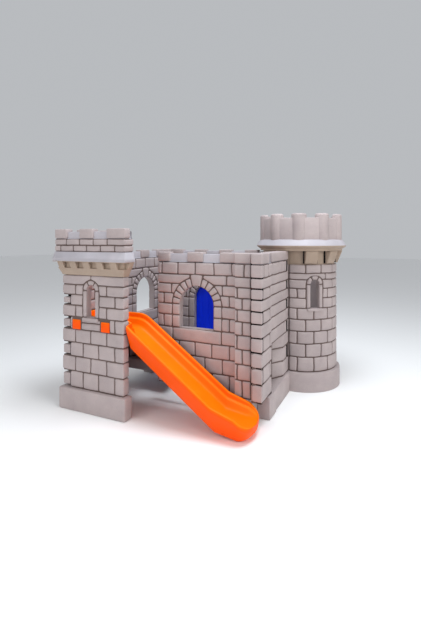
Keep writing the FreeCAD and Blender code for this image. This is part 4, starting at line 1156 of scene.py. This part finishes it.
def round_courses(shell, start, end, zones):
    line = Circle(TOWER_X, TOWER_Y, TOWER_R)
    heights = LEVELS[:-2] + [BAND_TOP, SMALL_TOP]
    pitch = 360.0 / 14.0
    for k, (low, high) in enumerate(zip(heights[:-1], heights[1:])):
        first = -57.0 + (0.5 * pitch if k % 2 == 1 else 0.0)
        places = [first + n * pitch for n in range(-14, 28)]
        places = [a for a in places if start + 5.0 < a < end - 5.0]
        angles = [start, end] + ([start + 60.0, start + 125.0] if k == 8 else places)
        course(shell, line, low, high, sorted(line.arc(a) for a in angles), zones)


def corbels(shell, start, end):
    width = TOWER_R * math.radians(19.0)
    low = SMALL_TOP + 7.0
    for n in range(-10, 20):
        middle = CORBEL_ANGLE + CORBEL_STEP * n
        if not start + 9.5 < middle < end - 9.5 or 180.0 < middle % 360.0 < 215.0:
            continue
        part = Shell()
        # The corbel is in the warm darker stone: painted shade under the crown.
        block(part, (TOWER_R - 24.0, -0.5 * width, low), (TOWER_R + 6.0, 0.5 * width, 1344.5), soft=5.0,
              taper=(TOWER_R - 24.0, TOWER_R + 53.0, -0.5 * width, 0.5 * width), steps=3, slot=WARM_SHADE)
        # Near-black strips on both sides: painted shadow in the gaps beside the corbel.
        for side in (-1.0, 1.0):
            y0, y1 = sorted((side * 0.5 * width, side * (0.5 * width + 9.0)))
            block(part, (TOWER_R - 26.0, y0, low), (TOWER_R - 12.0, y1, 1344.0), soft=1.0, slot=DARK)
        shell.merge(part.placed(middle, TOWER_X, TOWER_Y))


def round_body(shell, start, end, opening, gap=None):
    """What lies behind, above and below the courses of one half of the tower."""
    round_plate(shell, start, end, INSIDE_R, TOWER_R - DEPTH, 0.0, SMALL_TOP - 4.0, opening)
    # The band behind the corbels takes the warm darker stone: painted shade between the corbels.
    upper = rectangle(INSIDE_R, TOWER_R - 22.0, SMALL_TOP - 6.0, MERLON_TOP - 0.5)
    round_ring(shell, start, end, upper, WARM_SHADE)
    round_plinth(shell, start, end, gap)
    corbels(shell, start, end)


def round_outer():
    shell = Shell()
    start, end = SEAM + 0.2, SEAM + 179.8
    outer = SLIT_HALF + SLIT_TRIM
    centre = math.radians(SLIT_ANGLE) * TOWER_R
    round_courses(shell, start, end, [Zone(centre, arched(outer + GROOVE, SLIT_SILL - 1.0, SLIT_SPRING))])
    face = Circle(TOWER_X, TOWER_Y, TOWER_R + 2.0)
    middle = face.arc(SLIT_ANGLE)
    arch_ring(shell, face, middle, SLIT_SPRING, SLIT_HALF, outer, 3, depth=11.0)
    jambs(shell, face, middle, SLIT_HALF, outer, [SLIT_SILL, SLIT_SPRING], depth=11.0)
    sill = Circle(TOWER_X, TOWER_Y, TOWER_R + 10.0)
    middle = sill.arc(SLIT_ANGLE)
    stone(shell, sill, middle - outer, middle + outer, SLIT_SILL - SILL_HIGH, SLIT_SILL, depth=19.0,
          edge=7.0, waver=0.0, out=0.0)
    round_body(shell, start, end, (SLIT_ANGLE, SLIT_HALF, SLIT_SILL, SLIT_SPRING))
    return shell


def round_inner():
    shell = Shell()
    start, end = SEAM + 180.2, SEAM + 359.8
    centre = math.radians(ARCH_ANGLE) * TOWER_R
    round_courses(shell, start, end, [Zone(centre, arched(ARCH_HALF + 2.0, -20.0, ARCH_SPRING))])
    half = math.degrees(math.asin(ARCH_HALF / PLINTH_R)) + 0.5
    gap = (ARCH_ANGLE - half, ARCH_ANGLE + half)
    round_body(shell, start, end, (ARCH_ANGLE, ARCH_HALF, 0.0, ARCH_SPRING), gap)
    return shell


def crown():
    """Overhanging ring, sloped ledge, wall and ten bulging merlons."""
    shell = Shell()
    base = MERLON_TOP + 0.5
    lip, wall_r, inner = 452.0, 398.0, 350.0
    top = base + 319.0
    profile = [(inner, base), (411.0, base), (415.0, base + 4.0), (415.0, base + 16.0), (446.0, base + 38.0),
               (450.5, base + 41.5), (lip, base + 46.0), (lip, base + 51.0), (450.0, base + 55.0),
               (447.0, base + 59.0), (424.0, base + 101.0), (418.0, base + 106.0), (wall_r, base + 110.0),
               (wall_r, top - 9.0), (wall_r - 2.6, top - 2.6), (wall_r - 9.0, top), (inner + 9.0, top),
               (inner + 2.6, top - 2.6), (inner, top - 9.0), (inner, base)]
    rows = turned_rows(TOWER_X, TOWER_Y, profile, full_turn(120))
    # The overhang's underside takes the warm darker stone as painted shade; the sloped ledge takes the
    # smooth stone, whose lighter tone is painted sky light.
    for part, slot in ((rows[:8], WARM_SHADE), (rows[7:13], SMOOTH_SKYLIT), (rows[12:], STONE)):
        shell.grid(part, slot, wrap=True)
    plan = []
    for step in range(25):
        turn = math.radians(-118.0 + 236.0 * step / 24.0)
        x, y = 349.0 + 73.0 * math.cos(turn), 73.0 * math.sin(turn)
        if math.hypot(x, y) >= inner + 1.5:
            plan.append((x, y))
    last, first = [math.atan2(plan[i][1], plan[i][0]) for i in (-1, 0)]
    for step in range(1, 6):
        t = last + (first - last) * step / 6.0
        plan.append(((inner + 0.8) * math.cos(t), (inner + 0.8) * math.sin(t)))
    merlon = Shell()
    band(merlon, Outline(plan, mitre=0.4), base + 40.0, top + 43.0, soft=20.0, out=-0.1)
    for n in range(10):
        shell.merge(merlon.placed(-80.0 + 36.0 * n, TOWER_X, TOWER_Y))
    return shell


stonework(round_outer(), "round_tower_outer", "round_tower_outer_shell")
stonework(round_inner(), "round_tower_inner", "round_tower_inner_shell")
stonework(crown(), "round_tower_crown_ring", "round_tower_crown")


# Slide

SLIDE_WIDE, SLIDE_NEAR = 375.0, TOWER_THICK + 0.4
RIM_TOP, RIM_FOOT, RIM_END = 800.0, 210.0, 104.0
KNEE_X, RUN_X, END_X = -38.0, 800.0, 1050.0
TROUGH, SKIRT = 110.0, 205.0
END_ROUND = 110.0


def rim(x):
    slope = (RIM_TOP - RIM_FOOT) / (RUN_X - KNEE_X)
    height = max(min(RIM_TOP, RIM_TOP - slope * (x - KNEE_X)), RIM_FOOT)
    share = (x - RUN_X) / (END_X - RUN_X)
    if share > 0.4:
        height = RIM_FOOT - (RIM_FOOT - RIM_END) * (share - 0.4) / 0.6
    return height


def soft_rim(x):
    """The rim's height with its bends eased, less so near the end."""
    spots = np.linspace(-55.0, 55.0, 9) if x < RUN_X + 90.0 else np.linspace(-22.0, 22.0, 5)
    return float(np.mean([rim(x + d) for d in spots]))


def rounded(points, radii, steps=5):
    """A closed outline with each corner replaced by an arc."""
    out = []
    count = len(points)
    for i in range(count):
        p = np.array(points[i], float)
        a = np.array(points[i - 1], float) - p
        b = np.array(points[(i + 1) % count], float) - p
        la, lb = np.linalg.norm(a), np.linalg.norm(b)
        reach = min(radii[i], 0.45 * la, 0.45 * lb)
        start, end = p + a / la * reach, p + b / lb * reach
        for k in range(steps):
            t = k / (steps - 1.0)
            out.append((1.0 - t) ** 2 * start + 2.0 * t * (1.0 - t) * p + t * t * end)
    return np.array(out)


def slide_section(x, near, wall_low):
    """Closed cross-section in Y and Z, from the bottom round the near side to the far side."""
    height = soft_rim(x)
    share = max(0.0, (x - RUN_X - 120.0) / (END_X - RUN_X - 120.0))
    low = max(height - SKIRT, 0.0) + 52.0 * share ** 2.4
    floor = max(height - TROUGH, min(RIM_FOOT - TROUGH, height - 6.0))
    floor = height - (height - floor) * wall_low
    deep = height - floor
    side = [(70.0, low), (0.0, height - 24.0), (5.0, height), (29.0, height), (36.0, height - 0.36 * deep),
            (54.0, height - 0.44 * deep), (80.0, floor)]
    radii = [26.0, 9.0, 8.0, 12.0, 9.0, 10.0, 34.0]
    points = [(near + y, z) for y, z in side] + [(SLIDE_WIDE - y, z) for y, z in side[::-1]]
    return rounded(points, radii + radii[::-1])


def slide_row(x, deep, squeeze=1.0, shrink=0.0):
    """The slide's cross-section at x. deep is the trough's share, squeeze narrows it."""
    near = SLIDE_NEAR if x < 4.0 else 0.0
    if 4.0 <= x < 22.0:
        near = SLIDE_NEAR * (0.5 + 0.5 * math.cos(math.pi * (x - 4.0) / 18.0))
    section = slide_section(x, near, deep)
    middle = 0.5 * SLIDE_WIDE
    y = middle + (section[:, 0] - middle) * squeeze
    z = section[:, 1]
    if shrink > 0.0:
        z = np.clip(z, z.min() + shrink, z.max() - shrink)
    return np.stack([np.full(len(y), x), y, z], axis=-1)


def slide_shell():
    shell = Shell()
    start = -570.0
    rows = [slide_row(start, 0.0, 1.0, 6.0)]
    for step, deep in ((0.0, 0.0), (4.0, 0.0), (22.0, 0.04), (30.0, 0.35), (40.0, 0.85), (56.0, 1.0)):
        rows.append(slide_row(start + step, deep))
    x = start + 80.0
    while x < RUN_X - 21.0:
        rows.append(slide_row(x, 1.0))
        x += 14.0
    rows += [slide_row(x, 1.0) for x in (5.0, 9.0, 13.0, 17.0, 21.0)]
    rows.sort(key=lambda r: r[0, 0])
    power = 2.0 / 2.6
    for k in range(0, 31):
        a = 0.5 * math.pi * k / 31.0
        x = END_X - END_ROUND + END_ROUND * math.sin(a) ** power
        rows.append(slide_row(x, 1.0, math.cos(a) ** power))
    grid = np.array(rows)
    shell.grid(grid.transpose(1, 0, 2))
    ring = np.concatenate([grid[:, -1:], grid[:, :1]], axis=1)
    shell.grid(ring.transpose(1, 0, 2))
    count = grid.shape[1]
    fan = [[k, (k + 1) % count, count] for k in range(count)]
    for loop, faces in ((grid[0], [face[::-1] for face in fan]), (grid[-1], fan)):
        shell.add(np.vstack([loop, loop.mean(axis=0)]), faces)
    for x in LUGS:
        z0 = LEVELS[5] - 108.0
        block(shell, (x - 45.0, 1.0, z0), (x + 45.0, SLIDE_NEAR + 35.0, z0 + 84.0), soft=8.0, steps=3)
    return shell


slide_shell().build("slide_chute", [orange_skin], "castle", "orange_plastic", ["slide"], sharp=50.0)


# Deck and steps inside

INNER_LEFT = -461.7


def deck():
    shell = Shell()
    x0, x1, y1 = INNER_LEFT, 50.0, 1100.0
    block(shell, (x0, 620.0, 187.0), (x1, y1, 285.0), soft=10.0, steps=3)
    block(shell, (x1 - 80.0, 812.0, 0.0), (x1, y1, 200.0), soft=8.0)
    block(shell, (x0, 1040.0, 0.0), (x0 + 40.0, y1, 200.0), soft=8.0)
    return shell


def steps_shell():
    shell = Shell()
    x0, x1 = INNER_LEFT, -120.0
    front, turn, back = 375.3, 657.3, 897.3
    loop = [(front, 610.0), (turn - 40.0, 610.0), (turn - 40.0, 430.0), (back - 40.0, 430.0),
            (back - 40.0, 285.0), (back, 285.0), (back, 470.0), (turn, 470.0), (turn, 650.0), (front, 650.0)]
    soft = rounded(loop, [4.0, 4.0, 4.0, 4.0, 4.0, 4.0, 10.0, 6.0, 10.0, 4.0], steps=4)
    for x, up in ((x0, False), (x1, True)):
        shell.add([(x, p[0], p[1]) for p in soft], filled(soft, [soft], up))
    ring = np.vstack([soft, soft[:1]])
    shell.grid(np.array([[(x, p[0], p[1]) for p in ring] for x in (x0, x1)]))
    for x in (x0, x1 - 40.0):
        for y, z in ((turn, 645.0), (back, 465.0)):
            block(shell, (x + 0.5, 620.0, 285.0), (x + 39.5, y - 5.0, z), soft=4.0)
    return shell


deck().build("inner_deck", [grey_skin], "castle", "grey_plastic", ["floor_deck"])
steps_shell().build("inner_steps", [grey_skin], "castle", "grey_plastic", ["step_unit"])

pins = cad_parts["door_hinge_pins"]
pins.data.materials.clear()
pins.data.materials.append(pin_skin)


# Camera, floor and light

PHOTO_HIGH, FOCAL, DROP = 631.0, 394.9, -75.44
SENSOR = 36.0
SIDE = 30.0

camera_data = bpy.data.cameras.new("camera")
camera = placed_object("camera", camera_data)
camera.location = (1.5785, -3.5505, 1.45)
camera.rotation_euler = (math.radians(90.0), 0.0, math.radians(25.24))
camera_data.sensor_width = SENSOR
camera_data.lens = FOCAL / PHOTO_HIGH * SENSOR
camera_data.shift_y = DROP / PHOTO_HIGH
camera_data.clip_start = 0.05
camera_data.clip_end = 100.0
bpy.context.scene.camera = camera
bpy.context.scene.view_settings.view_transform = "Standard"

floor_mesh = bpy.data.meshes.new("floor")
floor_mesh.from_pydata([(x, y, 0.0) for x, y in rectangle(-SIDE, SIDE, -SIDE, SIDE)], [], [[0, 1, 2, 3]])
floor = placed_object("floor", floor_mesh)
floor_skin = bpy.data.materials.new("floor")
floor_skin.use_nodes = True
floor_shader = floor_skin.node_tree.nodes["Principled BSDF"]
floor_shader.inputs["Base Color"].default_value = (0.92, 0.92, 0.92, 1.0)
floor_shader.inputs["Roughness"].default_value = 0.9
floor_mesh.materials.append(floor_skin)

world = bpy.data.worlds.new("studio")
world.use_nodes = True
sky = world.node_tree.nodes["Background"]
sky.inputs["Color"].default_value = (0.93, 0.96, 1.0, 1.0)
sky.inputs["Strength"].default_value = 0.52
bpy.context.scene.world = world


def area(name, place, aim, size, power, colour):
    data = bpy.data.lights.new(name, "AREA")
    data.shape = "DISK"
    data.size = size
    data.energy = power
    data.color = colour
    lamp = placed_object(name, data)
    lamp.location = place
    lamp.rotation_euler = (Vector(aim) - Vector(place)).to_track_quat("-Z", "Y").to_euler()


area("top_light", (1.0, -0.6, 5.2), (0.0, 0.0, 0.6), 2.6, 190.0, (0.88, 0.94, 1.0))
area("side_light", (5.0, -2.2, 2.6), (0.2, 0.0, 0.7), 3.0, 88.0, (1.0, 0.95, 0.88))
area("front_light", (-1.6, -5.2, 2.4), (0.0, 0.0, 0.7), 3.0, 62.0, (1.0, 0.96, 0.93))
